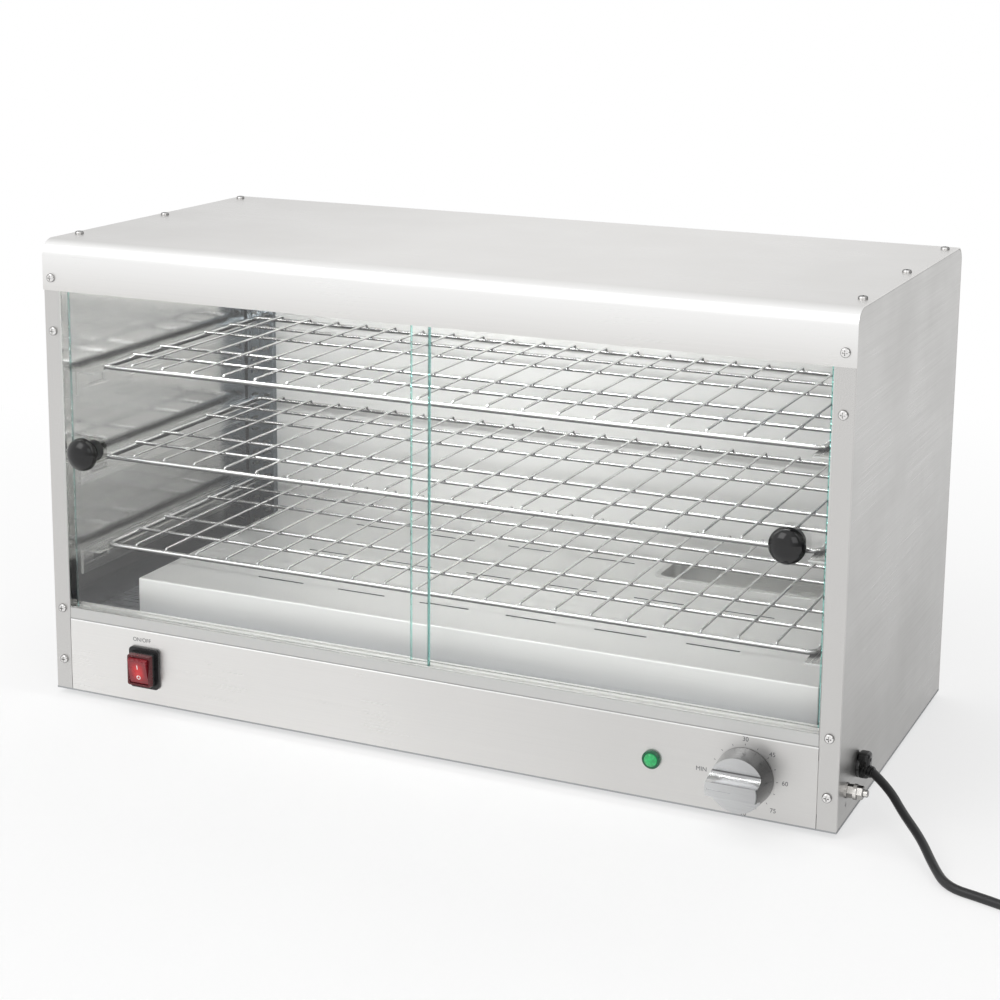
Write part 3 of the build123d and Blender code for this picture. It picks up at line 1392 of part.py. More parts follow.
with BuildPart() as plug_pins:
    with BuildSketch(Plane.XY.offset(PLUG_LOW + plug_thickness)):
        with Locations((PLUG_X, PLUG_Y + pin_row_place)):
            with GridLocations(pin_live_span, 0, 2, 1):
                Rectangle(pin_live_width, pin_live_thickness)
    extrude(amount=pin_live_length)
    with BuildSketch(Plane.XY.offset(PLUG_LOW + plug_thickness)):
        with Locations((PLUG_X, PLUG_Y + pin_row_place + pin_earth_rise)):
            Rectangle(pin_earth_width, pin_earth_thickness)
    extrude(amount=pin_earth_length)
save(plug_pins, "plug_pins")
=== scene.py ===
import math

import bmesh
import bpy
from mathutils import Matrix, Vector


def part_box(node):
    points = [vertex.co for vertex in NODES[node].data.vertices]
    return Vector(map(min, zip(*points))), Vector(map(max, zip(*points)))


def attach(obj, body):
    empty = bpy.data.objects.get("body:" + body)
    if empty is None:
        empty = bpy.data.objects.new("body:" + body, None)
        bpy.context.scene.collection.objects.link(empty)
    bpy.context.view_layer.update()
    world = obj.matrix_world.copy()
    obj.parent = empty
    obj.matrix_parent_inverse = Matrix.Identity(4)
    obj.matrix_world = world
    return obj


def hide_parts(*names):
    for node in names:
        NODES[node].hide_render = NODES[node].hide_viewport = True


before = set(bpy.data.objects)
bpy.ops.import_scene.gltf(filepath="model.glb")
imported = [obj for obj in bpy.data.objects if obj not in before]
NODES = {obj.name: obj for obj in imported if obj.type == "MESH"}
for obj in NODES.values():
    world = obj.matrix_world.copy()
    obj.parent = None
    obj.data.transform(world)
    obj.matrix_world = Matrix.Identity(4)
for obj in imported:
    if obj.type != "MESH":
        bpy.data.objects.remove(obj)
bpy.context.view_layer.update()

bl_info = {
    "name": "Pie Warmer",
    "version": (1, 0, 0),
    "blender": (4, 5, 0),
    "location": "View3D > Sidebar > Pie Warmer",
    "description": "Dresses the pie warmer's frame with its finishes, printing, cord and studio",
    "category": "Object",
}

MM = 0.001

PANEL_LOW, PANEL_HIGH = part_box("control_panel")
FACE_Y = PANEL_LOW.y
KNOB_LOW, KNOB_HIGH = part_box("thermostat_knob")
KNOB_MIDDLE = (KNOB_LOW + KNOB_HIGH) / 2
SWITCH_LOW, SWITCH_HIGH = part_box("switch_housing")
SWITCH_MIDDLE = (SWITCH_LOW + SWITCH_HIGH) / 2
BODY_LOW, BODY_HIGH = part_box("top_cover")
STUD_LOW, STUD_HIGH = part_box("bonding_stud")
STUD_MIDDLE = (STUD_LOW + STUD_HIGH) / 2
PLUG_LOW, PLUG_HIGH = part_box("plug")
TRACK_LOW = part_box("door_track_bottom")[0]
COVER_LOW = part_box("heater_cover")[0]

KNOB_SKIRT = 21 * MM       # from the knob's back to the shoulder of its skirt
GRIP_ROOT = 10.8 * MM      # from the knob's middle up to the joint between grip and skirt
PRINT_LIFT = 0.05 * MM     # from the sheet to the middle of a printed layer
ROCKER_TILT = math.radians(12)


def colour_property(name, description, default):
    """A colour that a user can change."""
    return bpy.props.FloatVectorProperty(
        name=name, description=description, subtype="COLOR", size=3, default=default, min=0, max=1,
    )


def length_property(name, description, default, low, high):
    """A length that a user can change between two limits."""
    return bpy.props.FloatProperty(
        name=name, description=description, unit="LENGTH", default=default, min=low, max=high,
    )


class FinishSettings(bpy.types.PropertyGroup):
    """Colours and surface values of the finishes"""

    steel: colour_property("Steel", "Colour of the brushed body sheet", (0.77, 0.76, 0.745))
    steel_roughness: bpy.props.FloatProperty(
        name="Steel roughness", description="Mean roughness of the brushed body sheet",
        subtype="FACTOR", default=0.30, min=0, max=1,
    )
    # painted shade: the sides are the front's steel, and this darker tone stands in for the dimmer light
    # that reaches them
    flank: colour_property("Flank", "Colour of the sides, brushed from front to back", (0.47, 0.465, 0.455))
    lining: colour_property("Lining", "Colour of the bright chamber lining", (0.87, 0.87, 0.855))
    wire: colour_property("Wire", "Colour of the plated rack wire", (0.84, 0.84, 0.84))
    glass: colour_property("Glass", "Tint of the door glass", (0.992, 0.996, 0.993))
    glass_edge: colour_property("Glass edge", "Tint of the polished glass edges", (0.06, 0.26, 0.225))
    black: colour_property("Black plastic", "Colour of knobs and mouldings", (0.012, 0.012, 0.013))
    rocker: colour_property("Rocker", "Colour of the red rocker", (0.22, 0.012, 0.020))
    lens: colour_property("Lens", "Colour of the green lamp lens", (0.010, 0.30, 0.085))
    ink: colour_property("Ink", "Colour of the printed scale", (0.09, 0.09, 0.10))
    grain: bpy.props.FloatProperty(
        name="Grain depth", description="Height of the brushed grain",
        subtype="DISTANCE", unit="LENGTH", default=0.000012, min=0, max=0.001,
    )


class SizeSettings(bpy.types.PropertyGroup):
    """Sizes of the pieces that are added to the frame"""

    letter: length_property("Letter size", "Type size of the printed scale", 0.0054, 0.001, 0.02)
    number_radius: length_property("Number radius", "From the dial's centre to a number", 0.0350, 0.01, 0.1)
    tick_radius: length_property("Tick radius", "From the dial's centre to a tick", 0.0278, 0.01, 0.1)
    cord_diameter: length_property("Cord diameter", "Outside diameter of the cord", 0.0075, 0.003, 0.02)
    cord_length: length_property("Cord length", "Length of the cord outside the cabinet", 1.80, 0.2, 10)
    coil_radius: length_property("Coil radius", "Radius at the middle of the turns", 0.038, 0.02, 0.5)


class StageSettings(bpy.types.PropertyGroup):
    """Camera and light"""

    place: bpy.props.FloatVectorProperty(
        name="Camera place", description="Where the camera stands",
        subtype="TRANSLATION", size=3, default=(0.7746, -1.7130, 0.7238),
    )
    yaw: bpy.props.FloatProperty(
        name="Yaw", description="Turn of the view about the upright axis",
        subtype="ANGLE", default=-0.42664,
    )
    pitch: bpy.props.FloatProperty(
        name="Pitch", description="Tilt of the view over the level",
        subtype="ANGLE", default=-0.20209,
    )
    roll: bpy.props.FloatProperty(
        name="Roll", description="Turn of the picture about the line of sight",
        subtype="ANGLE", default=0.00923,
    )
    lens: bpy.props.FloatProperty(
        name="Lens", description="Focal length on a 36 mm wide sensor", default=75.66, min=10, max=300,
    )
    shift: bpy.props.FloatProperty(
        name="Shift", description="Upright shift of the lens, in widths of the picture", default=-0.15,
    )
    key: bpy.props.FloatProperty(
        name="Key lamp", description="Power of the large lamp over the left front",
        unit="POWER", default=16.0, min=0,
    )
    chamber: bpy.props.FloatProperty(
        name="Chamber lamp", description="Power of the strip lamp behind the fascia",
        unit="POWER", default=1.05, min=0,
    )
    world: bpy.props.FloatProperty(
        name="Surround", description="Level of the even light from the surround", default=0.95, min=0,
    )


# Shader effects that several finishes share

def new_group(name, inputs, outputs):
    """An empty shader node group with named sockets."""
    group = bpy.data.node_groups.new(name, "ShaderNodeTree")
    for label, kind, value in inputs:
        socket = group.interface.new_socket(label, in_out="INPUT", socket_type=kind)
        socket.default_value = value
    for label, kind in outputs:
        group.interface.new_socket(label, in_out="OUTPUT", socket_type=kind)
    return group, group.nodes.new("NodeGroupInput"), group.nodes.new("NodeGroupOutput")


def noise_node(nodes, scale, detail, roughness=0.5):
    """A noise texture node."""
    node = nodes.new("ShaderNodeTexNoise")
    node.inputs["Scale"].default_value = scale
    node.inputs["Detail"].default_value = detail
    node.inputs["Roughness"].default_value = roughness
    return node


def range_node(nodes, low, high, new_low, new_high):
    """A map range node between these values."""
    node = nodes.new("ShaderNodeMapRange")
    node.inputs["From Min"].default_value = low
    node.inputs["From Max"].default_value = high
    node.inputs["To Min"].default_value = new_low
    node.inputs["To Max"].default_value = new_high
    return node


def brushed_group():
    """Streaks drawn out along one direction: a mask of fine lines and one of broad ones."""
    group, start, end = new_group(
        "Brushed grain",
        [("Stretch", "NodeSocketVector", (1.0, 1.0, 1.0))],
        [("Fine", "NodeSocketFloat"), ("Broad", "NodeSocketFloat")],
    )
    place = group.nodes.new("ShaderNodeTexCoord")
    stretch = group.nodes.new("ShaderNodeVectorMath")
    stretch.operation = "MULTIPLY"
    fine = noise_node(group.nodes, 1.0, 3.0, 0.7)
    broad = noise_node(group.nodes, 0.12, 2.0)
    group.links.new(place.outputs["Object"], stretch.inputs[0])
    group.links.new(start.outputs["Stretch"], stretch.inputs[1])
    for texture, name in ((fine, "Fine"), (broad, "Broad")):
        group.links.new(stretch.outputs[0], texture.inputs["Vector"])
        group.links.new(texture.outputs[0], end.inputs[name])
    return group


def smudge_group():
    """Soft clouds such as wiping leaves on sheet metal and glass."""
    group, start, end = new_group(
        "Smudges", [("Scale", "NodeSocketFloat", 9.0)], [("Mask", "NodeSocketFloat")]
    )
    place = group.nodes.new("ShaderNodeTexCoord")
    cloud = noise_node(group.nodes, 9.0, 4.0, 0.6)
    band = range_node(group.nodes, 0.35, 0.68, 0.0, 1.0)
    group.links.new(place.outputs["Object"], cloud.inputs["Vector"])
    group.links.new(start.outputs["Scale"], cloud.inputs["Scale"])
    group.links.new(cloud.outputs[0], band.inputs["Value"])
    group.links.new(band.outputs[0], end.inputs["Mask"])
    return group


def speckle_group():
    """The fine even grain of moulded plastic and rubber."""
    group, start, end = new_group(
        "Moulded grain", [("Scale", "NodeSocketFloat", 1800.0)], [("Height", "NodeSocketFloat")]
    )
    place = group.nodes.new("ShaderNodeTexCoord")
    cells = group.nodes.new("ShaderNodeTexVoronoi")
    cells.feature = "SMOOTH_F1"
    group.links.new(place.outputs["Object"], cells.inputs["Vector"])
    group.links.new(start.outputs["Scale"], cells.inputs["Scale"])
    group.links.new(cells.outputs["Distance"], end.inputs["Height"])
    return group


GROUPS = {}


def effect(nodes, name, **values):
    """One of the shared effects placed in a material, with its own values."""
    makers = {"brushed": brushed_group, "smudge": smudge_group, "speckle": speckle_group}
    if name not in GROUPS:
        GROUPS[name] = makers[name]()
    node = nodes.new("ShaderNodeGroup")
    node.node_tree = GROUPS[name]
    for label, value in values.items():
        node.inputs[label.capitalize()].default_value = value
    return node


def blank_material(name):
    """A material with its node tree, links and Principled BSDF."""
    material = bpy.data.materials.new(name)
    material.use_nodes = True
    tree = material.node_tree
    return material, tree.nodes, tree.links, tree.nodes["Principled BSDF"]


def shade(colour, factor):
    """A colour scaled by a factor, with full alpha."""
    return (*[min(1.0, channel * factor) for channel in colour], 1.0)


def worked(nodes, links, operation, first, second=0.0, clamp=False):
    """The result of an operation on two values, each of them a socket or a number."""
    node = nodes.new("ShaderNodeMath")
    node.operation = operation
    node.use_clamp = clamp
    for place, value in enumerate((first, second)):
        if isinstance(value, float):
            node.inputs[place].default_value = value
        else:
            links.new(value, node.inputs[place])
    return node.outputs[0]


def mix_colours(nodes, links, mask, low, high, blend="MIX"):
    """A colour that goes from low to high with the mask, each of them a socket or a colour."""
    node = nodes.new("ShaderNodeMix")
    node.data_type = "RGBA"
    node.blend_type = blend
    for name, colour in (("A", low), ("B", high)):
        if isinstance(colour, tuple):
            node.inputs[name].default_value = colour
        else:
            links.new(colour, node.inputs[name])
    links.new(mask, node.inputs["Factor"])
    return node.outputs["Result"]


def mix_surfaces(nodes, links, share, first, second, output="Material Output"):
    """Leads from one shader to another with a share, and on to the output."""
    mix = nodes.new("ShaderNodeMixShader")
    for place, socket in enumerate((share, first.outputs[0], second.outputs[0])):
        links.new(socket, mix.inputs[place])
    links.new(mix.outputs[0], nodes[output].inputs["Surface"])


def add_bump(nodes, links, height, strength, depth):
    """A relief on the surface from a mask of heights."""
    bump = nodes.new("ShaderNodeBump")
    bump.inputs["Strength"].default_value = strength
    bump.inputs["Distance"].default_value = depth
    links.new(height, bump.inputs["Height"])
    links.new(bump.outputs[0], nodes["Principled BSDF"].inputs["Normal"])


def metal(name, colour, roughness, stretch, depth, wear=0.10, streak=0.05, metallic=1.0):
    """Brushed or rolled metal: grain in its roughness, colour and height, and faint wiping marks."""
    material, nodes, links, shader = blank_material(name)
    fine = effect(nodes, "brushed", stretch=stretch).outputs["Fine"]
    cloud = effect(nodes, "smudge", scale=7.0).outputs["Mask"]
    shader.inputs["Metallic"].default_value = metallic
    tone = mix_colours(nodes, links, fine, shade(colour, 1 - streak), shade(colour, 1 + streak))
    links.new(tone, shader.inputs["Base Color"])
    rough = range_node(nodes, 0.3, 0.7, roughness - 0.06, roughness + 0.06)
    links.new(fine, rough.inputs["Value"])
    worn = worked(nodes, links, "MULTIPLY", cloud, wear)
    links.new(worked(nodes, links, "ADD", worn, rough.outputs[0]), shader.inputs["Roughness"])
    add_bump(nodes, links, fine, 1.0, depth)
    return material


def place_mask(material, axis, low, high, new_low=0.0, new_high=1.0):
    """A mask that grows along one axis of the object, from one place to another."""
    nodes, links = material.node_tree.nodes, material.node_tree.links
    place = nodes.new("ShaderNodeTexCoord")
    split = nodes.new("ShaderNodeSeparateXYZ")
    grow = range_node(nodes, low, high, new_low, new_high)
    links.new(place.outputs["Object"], split.inputs[0])
    links.new(split.outputs[axis], grow.inputs["Value"])
    return grow.outputs[0]


def facing_mask(material, direction, low, high):
    """A mask of the faces that look one way."""
    nodes, links = material.node_tree.nodes, material.node_tree.links
    surface = nodes.new("ShaderNodeNewGeometry")
    along = nodes.new("ShaderNodeVectorMath")
    along.operation = "DOT_PRODUCT"
    along.inputs[1].default_value = direction
    grow = range_node(nodes, low, high, 0.0, 1.0)
    links.new(surface.outputs["Normal"], along.inputs[0])
    links.new(along.outputs["Value"], grow.inputs["Value"])
    return grow.outputs[0]


def both(material, *masks):
    """The share that all the masks have in common."""
    nodes, links = material.node_tree.nodes, material.node_tree.links
    total = masks[0]
    for mask in masks[1:]:
        total = worked(nodes, links, "MULTIPLY", total, mask)
    return total


def band_mask(material, axis, low, low_full, high_full, high):
    """A mask of a band along one axis, none outside low and high and whole between the full places."""
    rise, fall = place_mask(material, axis, low, low_full), place_mask(material, axis, high, high_full)
    return both(material, rise, fall)


def lead_to(material, mask, colour, blend="MIX"):
    """Leads a finish's colour to another one, or multiplies it by that one, where the mask is one."""
    nodes, links = material.node_tree.nodes, material.node_tree.links
    socket = nodes["Principled BSDF"].inputs["Base Color"]
    links.new(mix_colours(nodes, links, mask, socket.links[0].from_socket, colour, blend), socket)


def dim(material, mask, factor):
    """Scales a finish's colour by a factor where the mask is one."""
    lead_to(material, mask, (factor, factor, factor, 1.0), "MULTIPLY")


def flank_material(name, colour, flank, finish):
    """Body sheet brushed from front to back, with painted shade: the sides take the darker flank tone,
    painted lighter towards the top, and the turned posts a darkened copy of the front's steel.
    """
    material = metal(name, colour, finish.steel_roughness, (900, 6, 900), finish.grain)
    nodes, links = material.node_tree.nodes, material.node_tree.links
    # painted light and shade: the flanks behind the posts are darker than the front and lighter towards the
    # top
    rise = place_mask(material, "Z", 30 * MM, BODY_HIGH.z)
    shaded = mix_colours(nodes, links, rise, shade(flank, 0.88), shade(flank, 1.18))
    lead_to(material, place_mask(material, "Y", FACE_Y + 0.4 * MM, FACE_Y + 2.2 * MM), shaded)
    return material


def plating(name, colour):
    """Bright plating of an even tone."""
    return metal(name, colour, 0.13, (260, 260, 260), 0.000004, 0.08, 0.03)


def plated_material(name, colour, painted_flank_shade):
    """Bright plating on small round pieces, with painted shade that darkens it towards the flanks seen at a
    slant.
    """
    material = plating(name, colour)
    nodes, links = material.node_tree.nodes, material.node_tree.links
    # painted shade: the colour darkens towards the flanks seen at a slant
    weight = nodes.new("ShaderNodeLayerWeight")
    weight.inputs["Blend"].default_value = 0.5
    flank = range_node(nodes, 0.22, 0.62, 0.0, 1.0)
    links.new(weight.outputs["Facing"], flank.inputs["Value"])
    lead_to(material, flank.outputs[0], shade(colour, painted_flank_shade))
    return material


def wire_material(colour):
    """Bright plating on the rack wires, with painted shade along the underside."""
    material = plating("Plated wire", colour)
    # painted shade along the underside of each wire
    lead_to(material, facing_mask(material, (0.0, 0.0, -1.0), -0.35, 0.15), shade(colour, 0.14))
    return material


def knob_material(colour):
    """Satin plating with painted shade: darker on top of the grip, in the crease at its root, on the side
    away from the light and towards the right of its front.
    """
    material = metal("Satin knob", colour, 0.20, (25, 900, 900), 0.000002, 0.05, 0.10)
    # painted shade on the side turned away from the light
    dim(material, facing_mask(material, (1.0, 0.0, 0.10), 0.15, 0.80), 0.20)
    shoulder = KNOB_HIGH.y - KNOB_SKIRT
    # painted shade on top of the grip
    upper = facing_mask(material, (0.0, 0.0, 1.0), 0.35, 0.90)
    dim(material, both(material, upper, place_mask(material, "Y", KNOB_LOW.y, shoulder)), 0.62)
    # painted shade in the crease where the grip meets the skirt
    root = KNOB_MIDDLE.z + GRIP_ROOT
    height = band_mask(material, "Z", *[root + reach * MM for reach in (-0.8, -0.2, 0.2, 0.9)])
    depth = band_mask(material, "Y", *[shoulder + reach * MM for reach in (-2.0, -0.4, 0.4, 1.2)])
    dim(material, both(material, height, depth), 0.22)
    # painted shade across the front, growing towards the right
    front = facing_mask(material, (0.0, -1.0, 0.0), 0.60, 0.98)
    across = place_mask(material, "X", KNOB_LOW.x, KNOB_HIGH.x, 0.2, 1.0)
    dim(material, both(material, front, across), 0.70)
    return material


def lit_edge_material(name, colour, finish, low, high, depth, lift=0.9):
    """Body sheet brushed along its length, with a painted highlight that grows towards its folded front
    edge.
    """
    material = metal(name, colour, finish.steel_roughness, (6, 900, 900), finish.grain)
    # painted highlight near the folded front edge
    rise = place_mask(material, "Z", low, high, 0.0, lift)
    front = place_mask(material, "Y", FACE_Y + depth / 7, FACE_Y + depth, 1.0, 0.0)
    lead_to(material, both(material, rise, front), (0.98, 0.98, 0.975, 1.0))
    return material


def top_material(colour, finish):
    """The top cover's sheet, with a painted highlight along its front bend and painted shade that makes its
    flat top a little darker towards both ends.
    """
    low = BODY_LOW.z + 2 * MM
    material = lit_edge_material("Top sheet", colour, finish, low, BODY_HIGH.z - 8 * MM, 14 * MM)
    # painted shade towards the left and right ends of the flat top
    flat = facing_mask(material, (0.0, 0.0, 1.0), 0.80, 0.98)
    dim(material, both(material, flat, place_mask(material, "X", -80 * MM, BODY_LOW.x)), 0.82)
    dim(material, both(material, flat, place_mask(material, "X", 150 * MM, BODY_HIGH.x)), 0.90)
    return material


def panel_material(colour, finish):
    """The control panel's sheet, with a painted highlight along its folded top edge, painted shade behind
    its front face, and painted light and shade that make it lighter at its left end than at its right.
    """
    low, high = PANEL_HIGH.z - 1.6 * MM, PANEL_HIGH.z - 1.0 * MM
    material = lit_edge_material("Panel sheet", colour, finish, low, high, 2.2 * MM)
    # painted shade on the fold behind the front face
    sill = place_mask(material, "Y", FACE_Y + 1.6 * MM, FACE_Y + 2.4 * MM)
    dim(material, sill, 0.90)
    # painted light towards the left end and painted shade towards the right
    dim(material, place_mask(material, "X", 0.0, PANEL_LOW.x), 1.06)
    dim(material, place_mask(material, "X", -80 * MM, 180 * MM), 0.87)
    return material


def sill_material(colour, finish):
    """The lower track's steel, with painted shade that makes its front as dark as the panel below and a
    painted shadow along the joint between.
    """
    material = metal("Sill track", colour, 0.34, (6, 900, 900), finish.grain, 0.10, 0.05, 0.50)
    # painted shade on the track's front and a painted shadow along its lower edge
    dim(material, place_mask(material, "Y", TRACK_LOW.y + 3 * MM, TRACK_LOW.y + 1.5 * MM), 0.64)
    dim(material, place_mask(material, "Z", TRACK_LOW.z + 1.4 * MM, TRACK_LOW.z + 0.6 * MM), 0.60)
    return material


def lining_material(colour, finish):
    """The bright side linings, with painted shade that makes them darker near the chamber's floor."""
    material = metal("Bright lining", colour, 0.13, (900, 5, 900), finish.grain, 0.10)
    # painted shade near the chamber's floor
    dim(material, place_mask(material, "Z", 260 * MM, 130 * MM), 0.60)
    return material


def back_material(colour, finish):
    """The back lining, with painted shade that makes it darker to the right and a painted reflection of the
    cover that makes it lighter above the cover.
    """
    material = metal("Back lining", colour, 0.36, (7, 900, 900), finish.grain, 0.10, 0.03, 0.15)
    # painted shade towards the right
    dim(material, place_mask(material, "X", -60 * MM, 260 * MM), 0.80)
    # painted reflection of the cover, lighter low on the wall
    dim(material, place_mask(material, "Z", 200 * MM, 140 * MM), 1.14)
    return material


def cover_material(colour, finish):
    """The slotted cover's sheet, with painted shade on the cut walls of its slots and a painted highlight
    along its front edge.
    """
    material = metal("Cover sheet", colour, 0.34, (7, 800, 800), finish.grain, 0.14, 0.05, 0.40)
    # painted shade on the cut walls of the slots
    inside = place_mask(material, "Y", COVER_LOW.y + 4 * MM, COVER_LOW.y + 5 * MM)
    dim(material, both(material, inside, facing_mask(material, (0.0, -1.0, 0.0), 0.5, 0.9)), 0.06)
    # painted highlight along the front edge
    dim(material, place_mask(material, "Y", COVER_LOW.y + 3 * MM, COVER_LOW.y + 1.5 * MM), 1.13)
    return material


def plastic(name, colour, roughness, scale=1800.0, depth=0.00002, coat=0.0):
    """Moulded plastic or rubber with its fine grain and faint handling marks."""
    material, nodes, links, shader = blank_material(name)
    cloud = effect(nodes, "smudge", scale=60.0).outputs["Mask"]
    tone = mix_colours(nodes, links, cloud, shade(colour, 0.9), shade(colour, 1.18))
    links.new(tone, shader.inputs["Base Color"])
    rough = range_node(nodes, 0.0, 1.0, max(0.02, roughness - 0.05), roughness + 0.08)
    links.new(cloud, rough.inputs["Value"])
    links.new(rough.outputs[0], shader.inputs["Roughness"])
    shader.inputs["Coat Weight"].default_value = coat
    shader.inputs["Coat Roughness"].default_value = 0.08
    add_bump(nodes, links, effect(nodes, "speckle", scale=scale).outputs["Height"], 0.6, depth)
    return material


def boot_material(colour, cap):
    """Black housing of the switch, whose front rim is covered by the red cap."""
    material = plastic("Switch boot", colour, 0.24, 900.0, 0.000006)
    front = place_mask(material, "Y", SWITCH_LOW.y + 4.6 * MM, SWITCH_LOW.y + 3.4 * MM)
    lead_to(material, front, shade(cap, 0.42))
    return material


def rocker_material(cap):
    """Red translucent rocker, with a painted glow in the middle, over its lamp."""
    material = plastic("Red rocker", cap, 0.24, 900.0, 0.000006, 0.25)
    x, z = SWITCH_MIDDLE.x, SWITCH_MIDDLE.z
    # painted glow over the rocker's lamp
    across = band_mask(material, "X", x - 8 * MM, x - 2 * MM, x + 2 * MM, x + 8 * MM)
    up = band_mask(material, "Z", z - 11 * MM, z - 4 * MM, z + 3 * MM, z + 10 * MM)
    lead_to(material, both(material, across, up), (0.62, 0.018, 0.022, 1.0))
    return material


def pane_material(name, tint, edge_tint, low, high):
    """Clear glass whose polished upright edges show the green of the thickness."""
    material, nodes, links, shader = blank_material(name)
    half = (high.x - low.x) / 2
    place = nodes.new("ShaderNodeTexCoord")
    split = nodes.new("ShaderNodeSeparateXYZ")
    links.new(place.outputs["Object"], split.inputs[0])
    offset = worked(nodes, links, "SUBTRACT", split.outputs["X"], (low.x + high.x) / 2)
    edge = range_node(nodes, half - 1.6 * MM, half - 0.6 * MM, 0.0, 1.0)
    links.new(worked(nodes, links, "ABSOLUTE", offset), edge.inputs["Value"])
    cloud = effect(nodes, "smudge", scale=5.0).outputs["Mask"]
    film = mix_colours(nodes, links, cloud, shade(tint, 1), shade(tint, 0.985))
    tone = mix_colours(nodes, links, edge.outputs[0], film, shade(edge_tint, 1))
    links.new(tone, shader.inputs["Base Color"])
    shader.inputs["Roughness"].default_value = 0.0
    shader.inputs["Specular IOR Level"].default_value = 0.35
    shader.inputs["Transmission Weight"].default_value = 1.0
    shader.inputs["IOR"].default_value = 1.5
    clear = nodes.new("ShaderNodeBsdfTransparent")
    clear.inputs["Color"].default_value = shade(tint, 0.96)
    ray = nodes.new("ShaderNodeLightPath").outputs
    soft = worked(nodes, links, "MAXIMUM", ray["Is Shadow Ray"], ray["Is Diffuse Ray"])
    bounced = worked(nodes, links, "SUBTRACT", ray["Is Glossy Ray"], ray["Is Transmission Ray"], clamp=True)
    straight = worked(nodes, links, "MAXIMUM", soft, bounced)
    mix_surfaces(nodes, links, straight, shader, clear)
    return material


MATERIALS = {}


def material_of(key):
    """Each finish, made once when it is first asked for."""
    finish = bpy.context.scene.pie_finish
    grain, rough = finish.grain, finish.steel_roughness
    steel, flank, lining = tuple(finish.steel), tuple(finish.flank), tuple(finish.lining)
    black, rocker = tuple(finish.black), tuple(finish.rocker)
    # side is the front's steel darkened as painted shade, for the turned posts of the sides
    side, rail = shade(steel, 0.80)[:3], shade(lining, 1.06)[:3]
    makers = {
        # body sheet, brushed along its length or from front to back
        "along": lambda: metal("Steel brushed along", steel, rough, (6, 900, 900), grain),
        "deep": lambda: flank_material("Steel brushed deep", side, flank, finish),
        # the heated chamber
        "back": lambda: back_material(lining, finish),
        # the side linings take the lining's steel darkened as painted shade
        "lining": lambda: lining_material(shade(lining, 0.74)[:3], finish),
        "floor": lambda: metal("Floor sheet", (0.27, 0.285, 0.325), 0.22, (7, 900, 900), grain, 0.12),
        "cover": lambda: cover_material(lining, finish),
        "tray": lambda: metal("Pressed tray", shade(lining, 0.9)[:3], 0.26, (9, 500, 500), grain, 0.16),
        "track": lambda: metal("Track steel", rail, 0.34, (6, 900, 900), grain, 0.10, 0.05, 0.50),
        # the ledges take the lining's steel darkened as painted shade
        "ledge": lambda: metal("Ledge steel", shade(lining, 0.74)[:3], 0.20, (900, 6, 900), grain),
        "sill": lambda: sill_material(rail, finish),
        "slotted": lambda: metal("Slotted rail", (0.17, 0.195, 0.215), 0.24, (500, 500, 12), grain, 0.15),
        "wire": lambda: wire_material(tuple(finish.wire)),
        "heated": lambda: metal("Heated tube", (0.24, 0.21, 0.18), 0.45, (9, 300, 300), 0.00001, 0.2, 0.2),
        # other metals
        "screw": lambda: plated_material("Plated screw", (0.80, 0.79, 0.78), 0.06),
        "zinc": lambda: plated_material("Zinc plate", (0.80, 0.78, 0.75), 0.10),
        "galvanised": lambda: metal(
            "Galvanised sheet", (0.40, 0.41, 0.42), 0.42, (60, 60, 60), 0.00001, 0.2, 0.12
        ),
        "knob": lambda: knob_material((0.66, 0.665, 0.67)),
        "brass": lambda: metal("Brass", (0.76, 0.58, 0.26), 0.28, (300, 300, 300), 0.000008, 0.15, 0.06),
        "copper": lambda: metal("Copper", (0.74, 0.42, 0.26), 0.35, (9, 300, 300), 0.000008, 0.2, 0.1),
        # mouldings, rubber and print
        "black": lambda: plastic("Black moulding", black, 0.30),
        "gloss": lambda: plastic("Black gloss", shade(black, 0.5)[:3], 0.12, 900.0, 0.000003),
        "boot": lambda: boot_material(shade(black, 0.9)[:3], rocker),
        "rocker": lambda: rocker_material(rocker),
        "bezel": lambda: plastic("Green bezel", (0.008, 0.105, 0.048), 0.14),
        "rubber": lambda: plastic("Rubber", (0.022, 0.022, 0.023), 0.5, 1300.0, 0.00003),
        "sheath": lambda: plastic("Cord sheath", (0.014, 0.014, 0.015), 0.38, 1500.0, 0.00002),
        "ceramic": lambda: plastic("Terminal body", (0.72, 0.70, 0.64), 0.4),
        "lead": lambda: plastic("Lead sleeve", (0.22, 0.10, 0.05), 0.4),
        "ink": lambda: plastic("Printed ink", tuple(finish.ink), 0.5, 3000.0, 0.000002),
        "mark": lambda: plastic("Switch mark", (0.85, 0.82, 0.80), 0.45, 3000.0, 0.000002),
    }
    if key not in MATERIALS:
        MATERIALS[key] = makers[key]()
    return MATERIALS[key]


def lens_material():
    """Ribbed translucent green that glows a little inside."""
    finish = bpy.context.scene.pie_finish
    material, nodes, links, shader = blank_material("Green lens")
    cloud = effect(nodes, "smudge", scale=240.0).outputs["Mask"]
    tone = mix_colours(nodes, links, cloud, shade(finish.lens, 0.7), shade(finish.lens, 1.5))
    links.new(tone, shader.inputs["Base Color"])
    shader.inputs["Roughness"].default_value = 0.1
    shader.inputs["Coat Weight"].default_value = 0.5
    links.new(tone, shader.inputs["Emission Color"])
    shader.inputs["Emission Strength"].default_value = 0.35
    return material


def paint(material, *names):
    """Gives CAD nodes a finish."""
    for name in names:
        slots = NODES[name].material_slots
        if not slots:
            NODES[name].data.materials.append(material)
        for holder in slots:
            holder.material = material


# Building pieces

def placed(name, data):
    """A new object in the scene with this mesh, curve, light or camera."""
    thing = bpy.data.objects.new(name, data)
    bpy.context.scene.collection.objects.link(thing)
    return thing


